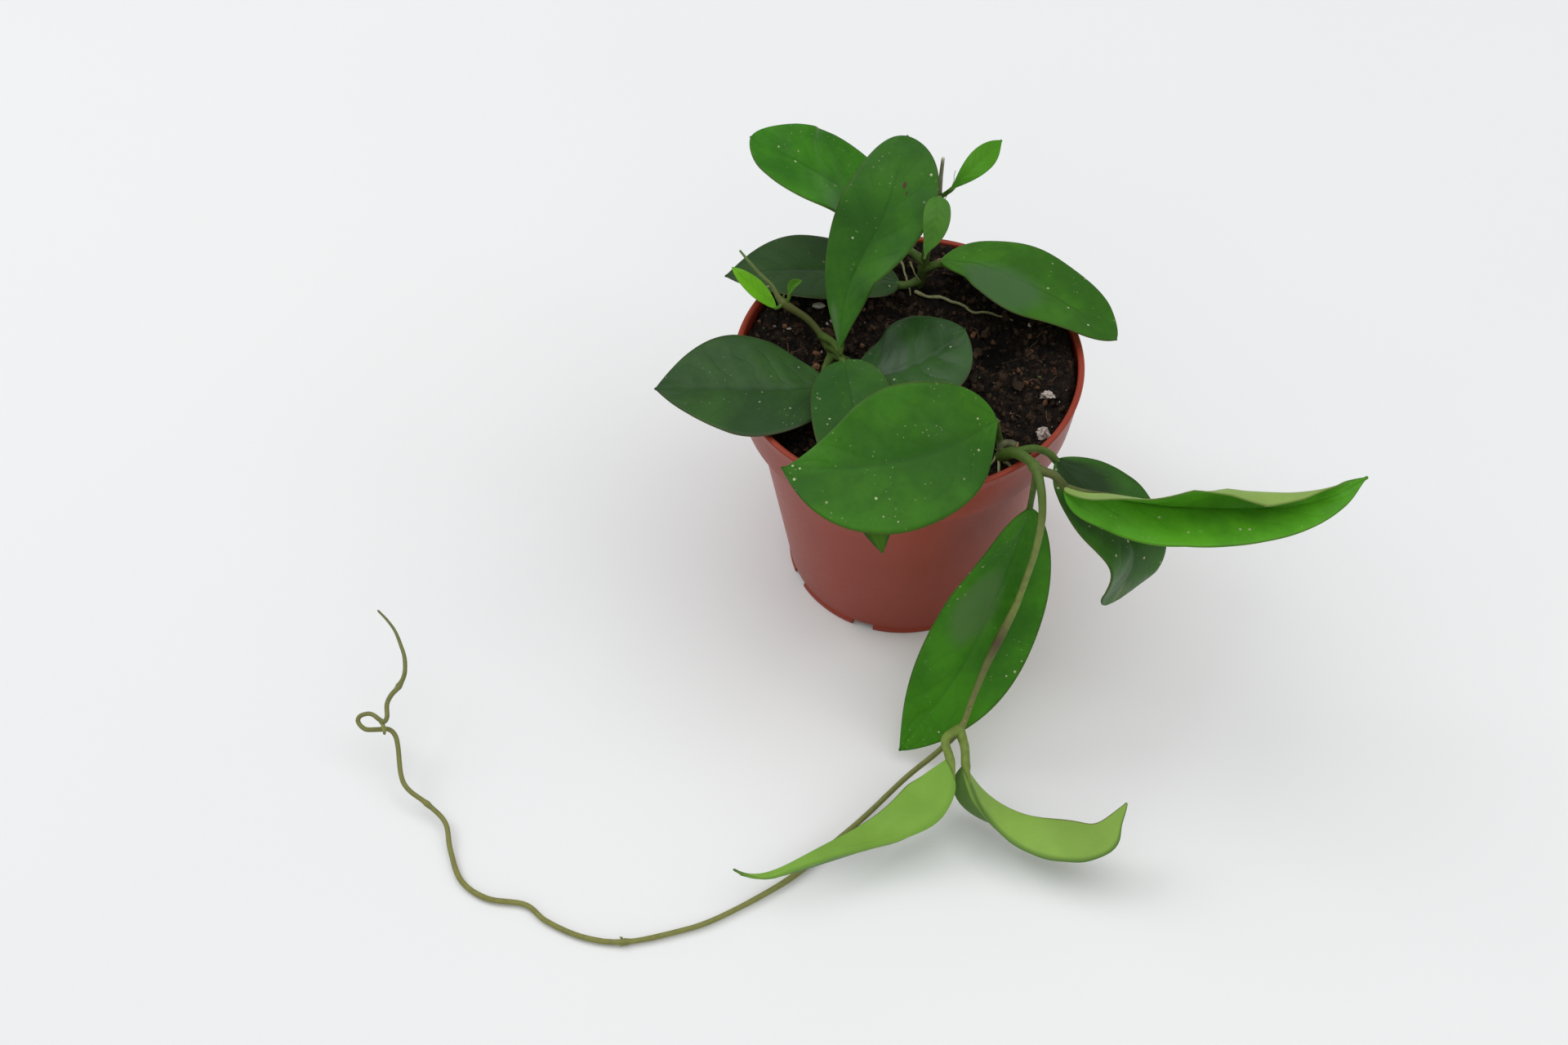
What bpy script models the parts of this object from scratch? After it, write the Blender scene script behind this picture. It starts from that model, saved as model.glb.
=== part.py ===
"""A potted wax plant: three rooted cuttings in a nursery pot, one of them trailing.

Blender works in metres with +Z up. The origin is the centre of the pot's base, on the
surface that the pot stands on. The viewer's side is -Y and the trailing runner lies there.
Points of stems and leaves are written in millimetres and turned into metres by mm().
"""
import math
from dataclasses import dataclass

import bmesh
import bpy
from mathutils import Vector, noise
from mathutils.bvhtree import BVHTree

MM = 0.001
GAP = 0.3

# Pot, in millimetres
POT_HEIGHT = 92.0
RIM_RADIUS = 52.5
RIM_DROP = 16.6
RIM_FOOT_RADIUS = 50.5
RIM_STEP = 3.6
LIP_WIDTH = 2.0
WALL = 1.2
BASE_RADIUS = 36.8
FLOOR = 1.5
FOOT_HEIGHT = 1.8
FOOT_REACH = 0.6
SLOT_COUNT = 8
SLOT_WIDTH = 7.0
SLOT_DEPTH = 6.0
SLOT_HEIGHT = 2.6
SLOT_TURN = 22.0
POT_SIDES = 48

# Soil, in millimetres
SOIL_LEVEL = 85.6
SOIL_GAP = 0.5
SOIL_RINGS = 10
SOIL_SIDES = 48
CLOD_HEIGHT = 1.1
CLOD_SIZE = 6.0
PIT = (28.0, 8.0, 9.0, -5.0)
MOUND = (38.0, -10.0, 11.0, 2.6)
# The mix rises towards the wall behind, on the left, in the middle and on the right: the
# way there as x and y, the share of the radius where the rise starts, and its height
SLOPES = ((-0.62, 0.78, 0.3, 5.2), (0.3, 0.95, 0.7, 2.5), (0.85, 0.53, 0.47, 5.5))
HOLE_RISE = 5.0
HOLE_SIDES = 12
SOIL_FOOT = 3.3
GRAIN_BUMP = 0.14

# Leaves and stems
BLADE = 1.0
STEM_STEP = 2.4
BLADE_ROWS = 12
BLADE_END = 0.9
FOLD_RAMP = 5.0
PETIOLE_SINK = 4.0
TUBE_SIDES = 7
LEAF_GREEN = (0.045, 0.135, 0.03)
YOUNG_GREEN = (0.13, 0.28, 0.05)
STEM_GREEN = (0.12, 0.16, 0.04)
BARK_BROWN = (0.12, 0.08, 0.035)
POT_RED = (0.30, 0.07, 0.045)
SOIL_BROWN = (0.028, 0.016, 0.011)
GRAIN_WHITE = (0.75, 0.73, 0.69)
ROOT_CREAM = (0.55, 0.5, 0.3)


def mm(x, y, z):
    """Turn a point in millimetres into a vector in metres."""
    return Vector((x, y, z)) * MM


def clear_scene():
    """Remove whatever the file holds."""
    for obj in list(bpy.data.objects):
        bpy.data.objects.remove(obj, do_unlink=True)


def material(name, colour, roughness):
    """Make a plain Principled material."""
    mat = bpy.data.materials.new(name)
    mat.use_nodes = True
    shader = mat.node_tree.nodes["Principled BSDF"]
    shader.inputs["Base Color"].default_value = (*colour, 1.0)
    shader.inputs["Roughness"].default_value = roughness
    shader.inputs["Metallic"].default_value = 0.0
    return mat


def add_object(name, verts, faces, mat):
    """Make one mesh object from vertices in metres, with its faces turned outwards."""
    mesh = bpy.data.meshes.new(name)
    mesh.from_pydata([tuple(v) for v in verts], [], faces)
    body = bmesh.new()
    body.from_mesh(mesh)
    bmesh.ops.recalc_face_normals(body, faces=body.faces)
    body.to_mesh(mesh)
    body.free()
    mesh.materials.append(mat)
    mesh.shade_smooth()
    mesh.set_sharp_from_angle(angle=math.radians(40))
    obj = bpy.data.objects.new(name, mesh)
    bpy.context.scene.collection.objects.link(obj)
    return obj


def combine(target, others, operation):
    """Join or cut the target with other objects by one Boolean, apply it, drop the others."""
    group = bpy.data.collections.new(target.name + "_pieces")
    bpy.context.scene.collection.children.link(group)
    for other in others:
        group.objects.link(other)
        bpy.context.scene.collection.objects.unlink(other)
    boolean = target.modifiers.new("combine", "BOOLEAN")
    boolean.operation = operation
    boolean.solver = "EXACT"
    boolean.operand_type = "COLLECTION"
    boolean.collection = group
    bpy.context.view_layer.update()
    evaluated = target.evaluated_get(bpy.context.evaluated_depsgraph_get())
    mesh = bpy.data.meshes.new_from_object(evaluated)
    target.modifiers.clear()
    target.data = mesh
    for other in others:
        bpy.data.objects.remove(other, do_unlink=True)
    bpy.data.collections.remove(group)


def even_shares(count):
    """Give evenly placed shares from 0 to 1."""
    return [i / (count - 1) for i in range(count)]


def smooth_points(points, shares):
    """Place points along a smooth curve through the given ones, at shares of its length."""
    given = [Vector(p) for p in points]
    given.insert(0, 2 * given[0] - given[1])
    given.append(2 * given[-1] - given[-2])
    fine = []
    for i in range(1, len(given) - 2):
        a, b, c, d = given[i - 1:i + 3]
        for step in range(12):
            t = step / 12
            fine.append(0.5 * (2 * b + (c - a) * t + (2 * a - 5 * b + 4 * c - d) * t * t
                               + (3 * b - a - 3 * c + d) * t ** 3))
    fine.append(given[-2])
    return pick_points(fine, shares)


def pick_points(points, shares):
    """Pick points along a polyline at shares of its length."""
    lengths = [0.0]
    for a, b in zip(points, points[1:]):
        lengths.append(lengths[-1] + (b - a).length)
    picked, i = [], 0
    for share in shares:
        goal = lengths[-1] * share
        while i < len(points) - 2 and lengths[i + 1] < goal:
            i += 1
        part = (goal - lengths[i]) / max(lengths[i + 1] - lengths[i], 1e-9)
        picked.append(points[i].lerp(points[i + 1], min(part, 1.0)))
    return picked


def tangents(points):
    """Give the unit direction of a polyline at each of its points."""
    last = len(points) - 1
    return [(points[min(i + 1, last)] - points[max(i - 1, 0)]).normalized()
            for i in range(last + 1)]


def blend(values, share):
    """Read a value at a share from 0 to 1 along a list of evenly placed values."""
    place = share * (len(values) - 1)
    i = min(int(place), len(values) - 2)
    return values[i] + (values[i + 1] - values[i]) * (place - i)


def tube(name, points, radii, mat, sides=TUBE_SIDES):
    """Make a capped tube along a smooth curve; points and radii are in millimetres."""
    count = tube_rings(points)
    path = smooth_points(points, even_shares(count))
    directions = tangents(path)
    side = directions[0].orthogonal().normalized()
    verts, faces = [], []
    for i, (centre, along) in enumerate(zip(path, directions)):
        side = (side - along * side.dot(along)).normalized()
        other = along.cross(side)
        radius = blend(radii, i / (count - 1))
        for k in range(sides):
            turn = 2 * math.pi * k / sides
            verts.append((centre + (side * math.cos(turn) + other * math.sin(turn)) * radius) * MM)
    for i in range(count - 1):
        for k in range(sides):
            a, b = i * sides + k, i * sides + (k + 1) % sides
            faces.append((a, b, b + sides, a + sides))
    faces.append(tuple(reversed(range(sides))))
    faces.append(tuple(range((count - 1) * sides, count * sides)))
    return add_object(name, verts, faces, mat)


@dataclass
class Leaf:
    """One leaf: its blade's midrib and the way its upper face looks, and its petiole.

    Points are in millimetres, angles in degrees. The two values of fold and curl are for
    the left and the right half of the blade, seen from above with the tip away. Each is a
    number, or a tuple of angles from base to tip. Width, widest and the two shapes are pairs
    where the halves differ.
    """
    name: str
    stem: str
    petiole: tuple
    midrib: tuple
    faces: tuple
    width: float | tuple
    widest: float | tuple = 0.5
    base_shape: float | tuple = 0.6
    tip_shape: float | tuple = 0.8
    fold: tuple = (7, 7)
    curl: tuple = (0, 0)
    petiole_radius: float = 1.3
    young: bool = False
    cells: int = 4


LEAVES = (
    Leaf("leaf_middle_tall", "middle", ((-25.5, 10.5, 91.5), (-22.5, 5, 94.5)),
         ((-21, -1.5, 97), (-17.3, 10.5, 112), (-6.2, 20, 133), (0.7, 36, 146)),
         ((-0.6, -0.65, 0.35), (-0.4, -0.8, 0.45)), (26.5, 27), (0.64, 0.71), (1.4, 1.1), 0.5,
         (7, (5, 5, 31, 13, -7, -5)),
         petiole_radius=1.1),
    Leaf("leaf_middle_left", "middle", ((-23, 6.2, 87.3), (-25.2, -1.8, 88.8)),
         ((-24.5, -8.8, 90), (-37, -12, 92.3), (-57, -13, 95), (-75, -14.5, 98)),
         ((-0.1, 0, 1), (-0.2, -0.15, 1)), (36, 38), (0.46, 0.5), (0.53, 0.5), 1.0, (6, 6),
         petiole_radius=1.1),
    Leaf("leaf_middle_right", "middle", ((-22, 6, 87.6), (-17.3, 1.2, 89.2)),
         ((-16.8, -5.8, 90.8), (-7, -9, 94), (6, -7, 99), (16, -2, 105)),
         ((0, -0.1, 1), (0.2, 0, 1)), (34, 35), 0.5, (0.36, 0.6), 0.62, (10, 10), (-14, -10),
         petiole_radius=1.1),
    Leaf("leaf_middle_front", "middle", ((-23.4, 7.8, 89.8), (-21, 2, 93)),
         ((-19.5, -4, 95.5), (-18, -25, 99), (-15, -52, 96.5), (-12, -68, 86)),
         ((-0.1, -0.2, 1), (0, -0.5, 0.8)), 24.5, 0.4, 0.42, 0.9, (8, 8), petiole_radius=1.1),
    Leaf("leaf_middle_young", "middle", ((-37, 16, 101), (-38, 14, 100.9)),
         ((-39, 13, 101.6), (-44.7, 17.8, 104.6), (-51.6, 25.8, 106.5)),
         ((0.1, -0.5, 0.85), (0.1, -0.5, 0.85)), 6, 0.45, 0.8, 0.9, (30, 30),
         petiole_radius=0.6, young=True),
    Leaf("leaf_middle_bud", "middle", ((-36, 16, 100.5), (-35, 16, 102.5)),
         ((-35, 16, 104), (-33.5, 17, 107), (-31, 15.5, 110)),
         ((-0.5, -0.6, 0.6), (-0.5, -0.6, 0.6)), 3, 0.5, 0.8, 0.9, (25, 25),
         petiole_radius=0.6, young=True),
    Leaf("leaf_back_upper_left", "back", ((7.5, 34, 98), (3, 38, 99)),
         ((0.5, 41, 101), (-11.5, 47.5, 111), (-28, 43.5, 129), (-44.5, 49.5, 136.5)),
         ((0.6, -0.4, 0.7), (0.2, -0.2, 0.9), (-0.2, 0.1, 1)), 32, 0.55, 0.63, 0.58, (10, 10)),
    Leaf("leaf_back_right", "back", ((7.2, 34, 94), (9.5, 33, 97)),
         ((12, 33, 99), (25, 30.5, 98.5), (45, 17, 97.5), (62, 1, 95)),
         ((-0.1, 0.2, 1), (0.4, -0.15, 0.9)), 30, 0.47, 0.72, 0.7, (8, 8), (-5, -5)),
    Leaf("leaf_back_low", "back", ((6.5, 35, 89.6), (2.6, 32.3, 90.1)),
         ((-0.4, 32, 91.2), (-18, 35, 93.8), (-36, 34, 96.5), (-54, 32, 97)),
         ((0.1, 0.1, 1), (-0.2, 0, 1)), 29, 0.52, (0.4, 0.65), 1.0, (6, 6)),
    Leaf("leaf_back_young", "back", ((10, 32, 125), (12, 30, 129)),
         ((13, 27, 133), (20, 31, 138), (29, 42, 138)),
         ((0, -0.6, 0.8), (0.15, -0.7, 0.65)), 7, 0.53, 1.3, 0.95, (8, 8),
         petiole_radius=0.7, young=True),
    Leaf("leaf_back_small", "back", ((10, 32, 125.5), (9.7, 24, 133)),
         ((8.2, 17.1, 139.4), (7.8, 13.2, 138.4), (7.1, 9.5, 136.1), (5.9, 7.1, 133),
          (4.6, 5.7, 130.6), (3.8, 4.3, 127.9)),
         ((0, -0.61, 0.79), (0, -0.61, 0.79)), 7.6, 0.33, 0.4, 1.5, (10, 10),
         petiole_radius=0.55, young=True),
    Leaf("leaf_front_big", "front", ((24.3, -35.8, 87), (24.4, -32.6, 88.8), (23.5, -31.8, 93),
                                     (22.3, -34, 100)),
         ((22, -36.5, 103.5), (4, -49.5, 107), (-18, -54, 106.8), (-39, -51.8, 104.8)),
         ((0.3, -0.6, 0.7), (0, -0.3, 0.95)), (40, 41), (0.58, 0.46), (0.85, 0.5), (0.85, 1.4),
         (5, 5), petiole_radius=1.0),
    Leaf("leaf_front_long", "front", ((32, -48.9, 96.6), (33.8, -50.3, 97.2), (36.9, -51.8, 97)),
         ((39.6, -54.5, 93.8), (45.6, -57.7, 94.9), (54, -59.2, 95.4), (67.5, -61.5, 93.8),
          (83.4, -62.5, 92.8), (101.8, -61.9, 91.9), (114.1, -59.9, 93.5), (124.1, -54.9, 94.7)),
         ((0, -0.6, 0.8), (0, -0.6, 0.8), (0.1, -0.55, 0.85)), (29, 27), 0.43, 0.62, 1.2,
         ((107, 98, 90, 74, 20, 5, 12, 32, 10), (5, 5, 20, 35, 38, 38, 35, 28, 10)),
         ((0, 0, 0, 0, 110, 168, 135, 55, 0), 0), cells=8),
    Leaf("leaf_front_folded", "front", ((27.9, -41.2, 93.6), (29.2, -41, 95.4), (33, -40.2, 95.2),
                                        (37.2, -40.2, 92.8)),
         ((39.5, -41, 91), (49.5, -52, 85), (59.5, -64, 77), (56, -69, 60)),
         ((0.4, -0.4, 0.8), (0.6, -0.4, 0.7), (0.6, -0.3, 0.75)), 29, 0.44, 0.75, 0.3,
         (9, 9), petiole_radius=1.15),
    Leaf("leaf_front_hanging", "front", ((32, -50, 96), (31.6, -51.5, 90)),
         ((32, -50, 80), (23.2, -59, 50), (12.3, -71, 29), (-6, -84, 5)),
         ((0.3, -0.9, 0.3), (0, -0.8, 0.6), (-0.2, -0.5, 0.85)), (32, 29), 0.53, 0.62,
         (0.85, 1.05), (11, 11), petiole_radius=0.9),
    Leaf("leaf_runner_left", "front", ((10.5, -87.2, 22.5), (6.8, -90.7, 22)),
         ((6.9, -96.5, 19.8), (7.8, -101, 18.9), (7.7, -106, 18), (5.8, -110.6, 17.2),
          (2.5, -114.3, 16.2), (-2.7, -117, 14.6), (-10.5, -119.4, 13.4), (-17.5, -120.8, 12.8),
          (-24.5, -122.2, 12.6), (-32.3, -124, 12), (-39.3, -126.2, 11.7), (-46.5, -128.6, 11.5),
          (-52.4, -129.1, 12.5), (-57.3, -127.1, 14)),
         ((-0.63, 0.37, -0.69), (-0.64, 0.47, -0.61), (-0.35, 0.87, -0.29), (-0.12, 0.82, -0.55),
          (-0.05, 0.74, -0.66), (-0.06, 0.74, -0.66), (-0.03, 0.67, -0.74), (0.05, 0.39, -0.92),
          (-0.14, 0.33, -0.93)), 26.6, 0.2, 0.5, 2.2,
         ((40, 40, 48, 66, 73, 70, 63, 50, 30), (55, 78, 76, 64, 61, 61, 58, 45, 30)),
         petiole_radius=1.4, cells=6),
    Leaf("leaf_runner_right", "front", ((11.8, -88.6, 21.8), (12.4, -92.5, 20.2)),
         ((11.9, -97.8, 18), (12.9, -102.8, 16.8), (14.9, -108.5, 15.5), (18.2, -114.3, 14.5),
          (21.9, -119.3, 14), (27, -123.6, 13.8), (32.8, -126.6, 14), (38.7, -128.2, 14.5),
          (44.7, -128.8, 15.5), (50.1, -127.8, 17), (53.6, -125.1, 18.8), (55.1, -120.3, 21.2),
          (56.9, -115.9, 24)),
         ((-0.42, 0.45, -0.79), (-0.24, 0.51, -0.83), (0.25, 0.76, -0.6), (0.29, 0.89, -0.35),
          (0.21, 0.97, -0.15), (0, 0.99, 0.1), (-0.31, 0.95, 0.1), (-0.79, 0.58, -0.18),
          (-0.84, 0.5, -0.25)), 22.4, 0.65, 0.35, 0.9,
         ((46, 45, 70, 72, 72, 65, 60, 55, 40), (46, 50, 71, 73, 69, 64, 60, 52, 40)),
         petiole_radius=1.4, cells=6),
)


@dataclass
class Stem:
    """One stem: its route from inside the soil to its tip, and its radii along that.

    Each side stub is a radius and a route of its own.
    """
    name: str
    route: tuple
    radii: tuple
    stubs: tuple = ()

    def path(self):
        """Give the stem's points as its tube has them."""
        return smooth_points(self.route, even_shares(tube_rings(self.route)))

    def nearest(self, point):
        """Give the distance from a point to the stem's axis, with the radius and way there."""
        path = self.path()
        ways = tangents(path)
        i = min(range(len(path)), key=lambda n: (path[n] - point).length)
        offset = point - path[i]
        apart = (offset - ways[i] * offset.dot(ways[i])).length
        return apart, blend(self.radii, i / (len(path) - 1)), ways[i]


STEMS = {
    "middle": Stem("stem_middle",
                   ((-21.5, 3.5, 74), (-22, 4.5, 84), (-24, 9, 89), (-29, 14, 94.5), (-37, 16, 101),
                    (-40, 19, 105), (-44, 21, 109), (-49, 24, 115)),
                   (1.3, 1.3, 1.25, 1.15, 1.1, 1.1, 1.25, 0.75, 0.62, 0.5, 0.35)),
    "back": Stem("stem_back",
                 ((6, 36.5, 74), (6, 36, 84), (7, 35, 92), (8, 33.5, 106), (10, 32, 126),
                  (11, 33, 140)),
                 (1.5, 1.5, 1.6, 1.5, 1.3, 1.1, 1.0, 0.9, 1.1, 0.62, 0.5)),
    "front": Stem("stem_front",
                  ((23.5, -33, 74), (23.6, -33.9, 80), (24.2, -35.6, 86), (25.4, -38.3, 90.8),
                   (27.2, -40.5, 94), (29.8, -44.5, 96.3), (32, -48.9, 97), (32.8, -53.5, 96),
                   (33.2, -57.5, 93), (33.3, -60, 87),
                   (32.5, -61.5, 76), (31, -62.5, 66), (28, -66, 55), (24, -70, 46),
                   (19.5, -75, 37), (15.5, -81, 29), (11.5, -87.5, 22), (5, -89.5, 12.5),
                   (-5, -95, 7), (-18, -105.5, 3), (-30.5, -115.5, 1.5), (-43, -125.5, 1.5),
                   (-62.5, -136, 1.5), (-75, -140, 1.5), (-90, -142.5, 1.5), (-102, -140.5, 1.5),
                   (-113, -135, 1.5), (-119.5, -129.5, 1.5), (-131, -127, 1.5),
                   (-139, -121, 1.5), (-143, -111, 2), (-145, -102.5, 3.5), (-150.5, -97, 5.5),
                   (-156.5, -92.5, 7), (-159, -88, 8), (-160.2, -79.8, 11), (-161.2, -76.3, 12.2),
                   (-163.1, -74.8, 13.5), (-166.4, -75.2, 14.3), (-170, -75.3, 15),
                   (-172.2, -73.2, 16), (-171.5, -71.8, 17), (-169, -71.4, 17.6),
                   (-167, -72.4, 18.1), (-164.9, -74.4, 18.6), (-163.2, -75.6, 19.4),
                   (-162.3, -74.5, 20.3), (-162.6, -70.5, 21), (-161.5, -67.6, 21.6),
                   (-159.4, -64.8, 22), (-158, -60.6, 22.3), (-158.3, -55.3, 23),
                   (-159.7, -51, 24), (-161.8, -46.2, 25), (-164.5, -42.5, 26), (-167.5, -39.4, 27)),
                  (1.7, 1.9, 1.35, 1.1, 1.0, 1.0, 1.4, 1.0, 0.9, 0.85, 0.85, 0.85, 1.0, 0.85, 0.8,
                   0.8, 0.8, 0.8, 0.8, 0.85, 0.8, 0.75, 0.75, 0.75, 0.7, 0.8, 0.6, 0.35),
                  ((1.2, ((25.2, -37.6, 89.5), (24.2, -36.2, 91.6), (25.8, -35.9, 92.8),
                          (28.4, -37.2, 93))),
                   (0.75, ((-164.6, -74.6, 18.7), (-163.6, -76.6, 18.6), (-162.9, -79.4, 18.4))))),
}


def tube_rings(points):
    """Give the number of rings that a tube through these points has."""
    length = sum((Vector(b) - Vector(a)).length for a, b in zip(points, points[1:]))
    return max(4, round(length / STEM_STEP) + 1)


def build_stem(stem, mat):
    """Make one stem, with its stubs joined to it."""
    body = tube(stem.name, stem.route, stem.radii, mat)
    if stem.stubs:
        stubs = [tube(stem.name + "_stub", route, (radius, radius), mat)
                 for radius, route in stem.stubs]
        combine(body, stubs, "UNION")
    return body


def blade_shares():
    """Give the places of a blade's rows along it, closer together near its two ends."""
    return [0.5 - 0.5 * math.cos(math.pi * i / BLADE_ROWS) for i in range(BLADE_ROWS + 1)]


def angle_at(degrees, share, ease):
    """Read an angle at a share of the blade: a number is eased, a tuple is read as it is."""
    if isinstance(degrees, tuple):
        return math.radians(blend(degrees, share))
    return math.radians(degrees) * ease


def blade_grid(leaf):
    """Give the rows of points across the blade's middle surface, in millimetres."""
    shares = blade_shares()
    midrib = smooth_points(leaf.midrib, shares)
    faces = [Vector(f).normalized() for f in leaf.faces]
    rows = []
    for share, centre, along in zip(shares, midrib, tangents(midrib)):
        face = blend(faces, share)
        up = (face - along * face.dot(along)).normalized()
        across = along.cross(up)
        flat_ends = min(1.0, FOLD_RAMP * share + 0.2, FOLD_RAMP * (1 - share) + 0.2)
        row = []
        for k in range(leaf.cells + 1):
            reach = 2 * k / leaf.cells - 1
            right = reach > 0
            half = max(BLADE_END, own(leaf.width, right) / 2 * outline(leaf, share, right))
            start = angle_at(leaf.fold[right], share, flat_ends)
            bend = angle_at(leaf.curl[right], share, math.sin(math.pi * share))
            out, rise = arc(abs(reach), start, bend)
            row.append(centre + across * (half * out * (1 if right else -1)) + up * half * rise)
        rows.append(row)
    return rows


def own(value, right):
    """Give one half's own value where the two halves of a blade differ."""
    return value[right] if isinstance(value, tuple) else value


def outline(leaf, share, right):
    """Give a half's width as a share of its largest, at a share of the blade's length."""
    widest = own(leaf.widest, right)
    if share < widest:
        x, power = (widest - share) / widest, own(leaf.base_shape, right)
    else:
        x, power = (share - widest) / (1 - widest), own(leaf.tip_shape, right)
    return max(0.0, 1 - x * x) ** power


def arc(reach, start, bend):
    """Follow a cross-section of unit length that starts at an angle and bends evenly."""
    if abs(bend) < 1e-4:
        return reach * math.cos(start), reach * math.sin(start)
    end = start + bend * reach
    return (math.sin(end) - math.sin(start)) / bend, (math.cos(start) - math.cos(end)) / bend


def build_blade(leaf, mat):
    """Make the blade as a closed plate, split into triangles alike on both faces."""
    rows = blade_grid(leaf)
    cells = leaf.cells
    across = cells + 1
    verts = []
    for level in (BLADE / 2, -BLADE / 2):
        for i, row in enumerate(rows):
            above, below = rows[max(i - 1, 0)], rows[min(i + 1, BLADE_ROWS)]
            for k, point in enumerate(row):
                along = below[k] - above[k]
                side = row[min(k + 1, cells)] - row[max(k - 1, 0)]
                verts.append((point + side.cross(along).normalized() * level) * MM)
    lower = len(rows) * across
    faces = []
    for i in range(BLADE_ROWS):
        for k in range(cells):
            a = i * across + k
            b, c, d = a + 1, a + 1 + across, a + across
            for tri in ((a, b, c), (a, c, d)):
                faces.append(tri)
                faces.append(tuple(v + lower for v in reversed(tri)))
    edge = list(range(across))
    edge += [i * across + cells for i in range(1, BLADE_ROWS + 1)]
    edge += [BLADE_ROWS * across + k for k in reversed(range(cells))]
    edge += [i * across for i in reversed(range(1, BLADE_ROWS))]
    for a, b in zip(edge, edge[1:] + edge[:1]):
        faces.append((a, a + lower, b))
        faces.append((b, a + lower, b + lower))
    return add_object(leaf.name, verts, faces, mat)


def petiole_path(leaf):
    """Run the petiole from just outside its stem into the underside of the blade."""
    path = smooth_points(leaf.petiole + leaf.midrib[:1], even_shares(40))
    ways = tangents(path)
    stem = STEMS[leaf.stem]
    for start, (point, way) in enumerate(zip(path, ways)):
        apart, radius, along = stem.nearest(point)
        if apart > radius + 1.5 * GAP + leaf.petiole_radius * abs(way.dot(along)):
            break
    first, second = Vector(leaf.midrib[0]), Vector(leaf.midrib[1])
    inward = (second - first).normalized()
    middle = path[(start + len(path)) // 2]
    return [path[start], middle, first, first + inward * PETIOLE_SINK]


def build_leaf(leaf, mat):
    """Make one leaf, its petiole joined to its blade."""
    blade = build_blade(leaf, mat)
    radius = leaf.petiole_radius
    stalk = tube(leaf.name + "_stalk", petiole_path(leaf),
                 (radius, radius, radius, 0.55 * radius), mat)
    combine(blade, [stalk], "UNION")
    return blade


def turned(name, profile, sides, mat):
    """Turn a profile of radius and height, in millimetres, that starts and ends on the Z axis."""
    verts, faces = [], []
    for k in range(sides):
        turn = 2 * math.pi * k / sides
        for radius, z in profile:
            verts.append(mm(radius * math.cos(turn), radius * math.sin(turn), z))
    count = len(profile)
    for k in range(sides):
        a, b = k * count, (k + 1) % sides * count
        for i in range(count - 1):
            faces.append((a + i, b + i, b + i + 1, a + i + 1))
    obj = add_object(name, verts, faces, mat)
    body = bmesh.new()
    body.from_mesh(obj.data)
    bmesh.ops.remove_doubles(body, verts=body.verts, dist=0.00001)
    bmesh.ops.recalc_face_normals(body, faces=body.faces)
    body.to_mesh(obj.data)
    body.free()
    return obj


def body_radius(z):
    """Give the pot's outer radius below the rim band."""
    top = POT_HEIGHT - RIM_DROP
    return BASE_RADIUS + (RIM_FOOT_RADIUS - RIM_STEP - BASE_RADIUS) * z / top


def inner_radius(z):
    """Give the pot's inner radius at a height."""
    band = POT_HEIGHT - RIM_DROP
    if z < band:
        return body_radius(z) - WALL
    return RIM_FOOT_RADIUS - WALL + (RIM_RADIUS - RIM_FOOT_RADIUS) * (z - band) / RIM_DROP


def build_pot(mat):
    """Make the pot: a turned shell with a rim band, and slots round its base."""
    band = POT_HEIGHT - RIM_DROP
    profile = [(0, 0), (BASE_RADIUS + FOOT_REACH, 0), (BASE_RADIUS + FOOT_REACH, FOOT_HEIGHT),
               (body_radius(FOOT_HEIGHT + 0.4), FOOT_HEIGHT + 0.4), (body_radius(band / 2), band / 2),
               (body_radius(band - 0.6), band - 0.6), (body_radius(band) + 0.5, band),
               (RIM_FOOT_RADIUS - 0.5, band), (RIM_FOOT_RADIUS, band + 0.5),
               (RIM_RADIUS - 0.1, POT_HEIGHT - 0.9), (RIM_RADIUS - 0.5, POT_HEIGHT - 0.2),
               (RIM_RADIUS - 1.0, POT_HEIGHT), (RIM_RADIUS - LIP_WIDTH + 0.4, POT_HEIGHT - 0.2),
               (RIM_RADIUS - LIP_WIDTH, POT_HEIGHT - 0.9), (inner_radius(POT_HEIGHT - 3), POT_HEIGHT - 3),
               (RIM_FOOT_RADIUS - WALL, band + WALL), (inner_radius(band - 1) + 0.2, band + 0.2),
               (inner_radius(band - 1), band - 1), (inner_radius(band / 2), band / 2),
               (inner_radius(FLOOR), FLOOR), (0, FLOOR)]
    pot = turned("pot", profile, POT_SIDES, mat)
    cutters = []
    for k in range(SLOT_COUNT):
        turn = math.radians(SLOT_TURN) + 2 * math.pi * k / SLOT_COUNT
        cutters.append(slot_cutter(turn, mat))
    combine(pot, cutters, "DIFFERENCE")
    return pot


def slot_cutter(turn, mat):
    """Make the block that cuts one drainage slot through the foot."""
    near, far = BASE_RADIUS - SLOT_DEPTH, BASE_RADIUS + 4
    half = SLOT_WIDTH / 2
    verts = []
    for z in (-1.0, SLOT_HEIGHT):
        for radius, side in ((near, -half), (far, -half), (far, half), (near, half)):
            x = radius * math.cos(turn) - side * math.sin(turn)
            y = radius * math.sin(turn) + side * math.cos(turn)
            verts.append(mm(x, y, z))
    faces = [(3, 2, 1, 0), (4, 5, 6, 7), (0, 1, 5, 4), (1, 2, 6, 5), (2, 3, 7, 6), (3, 0, 4, 7)]
    return add_object("slot", verts, faces, mat)


ROOT_ROUTE = ((4.5, 30.9), (8.6, 30.7), (12.1, 29.4), (15.9, 27), (19.1, 25), (21.4, 22.5),
              (24.3, 21), (28.7, 19.7), (33.5, 17.7))
ROOT_RADII = (0.6, 0.6, 0.55, 0.5, 0.45)
ROOT_POINTS = 11

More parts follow.
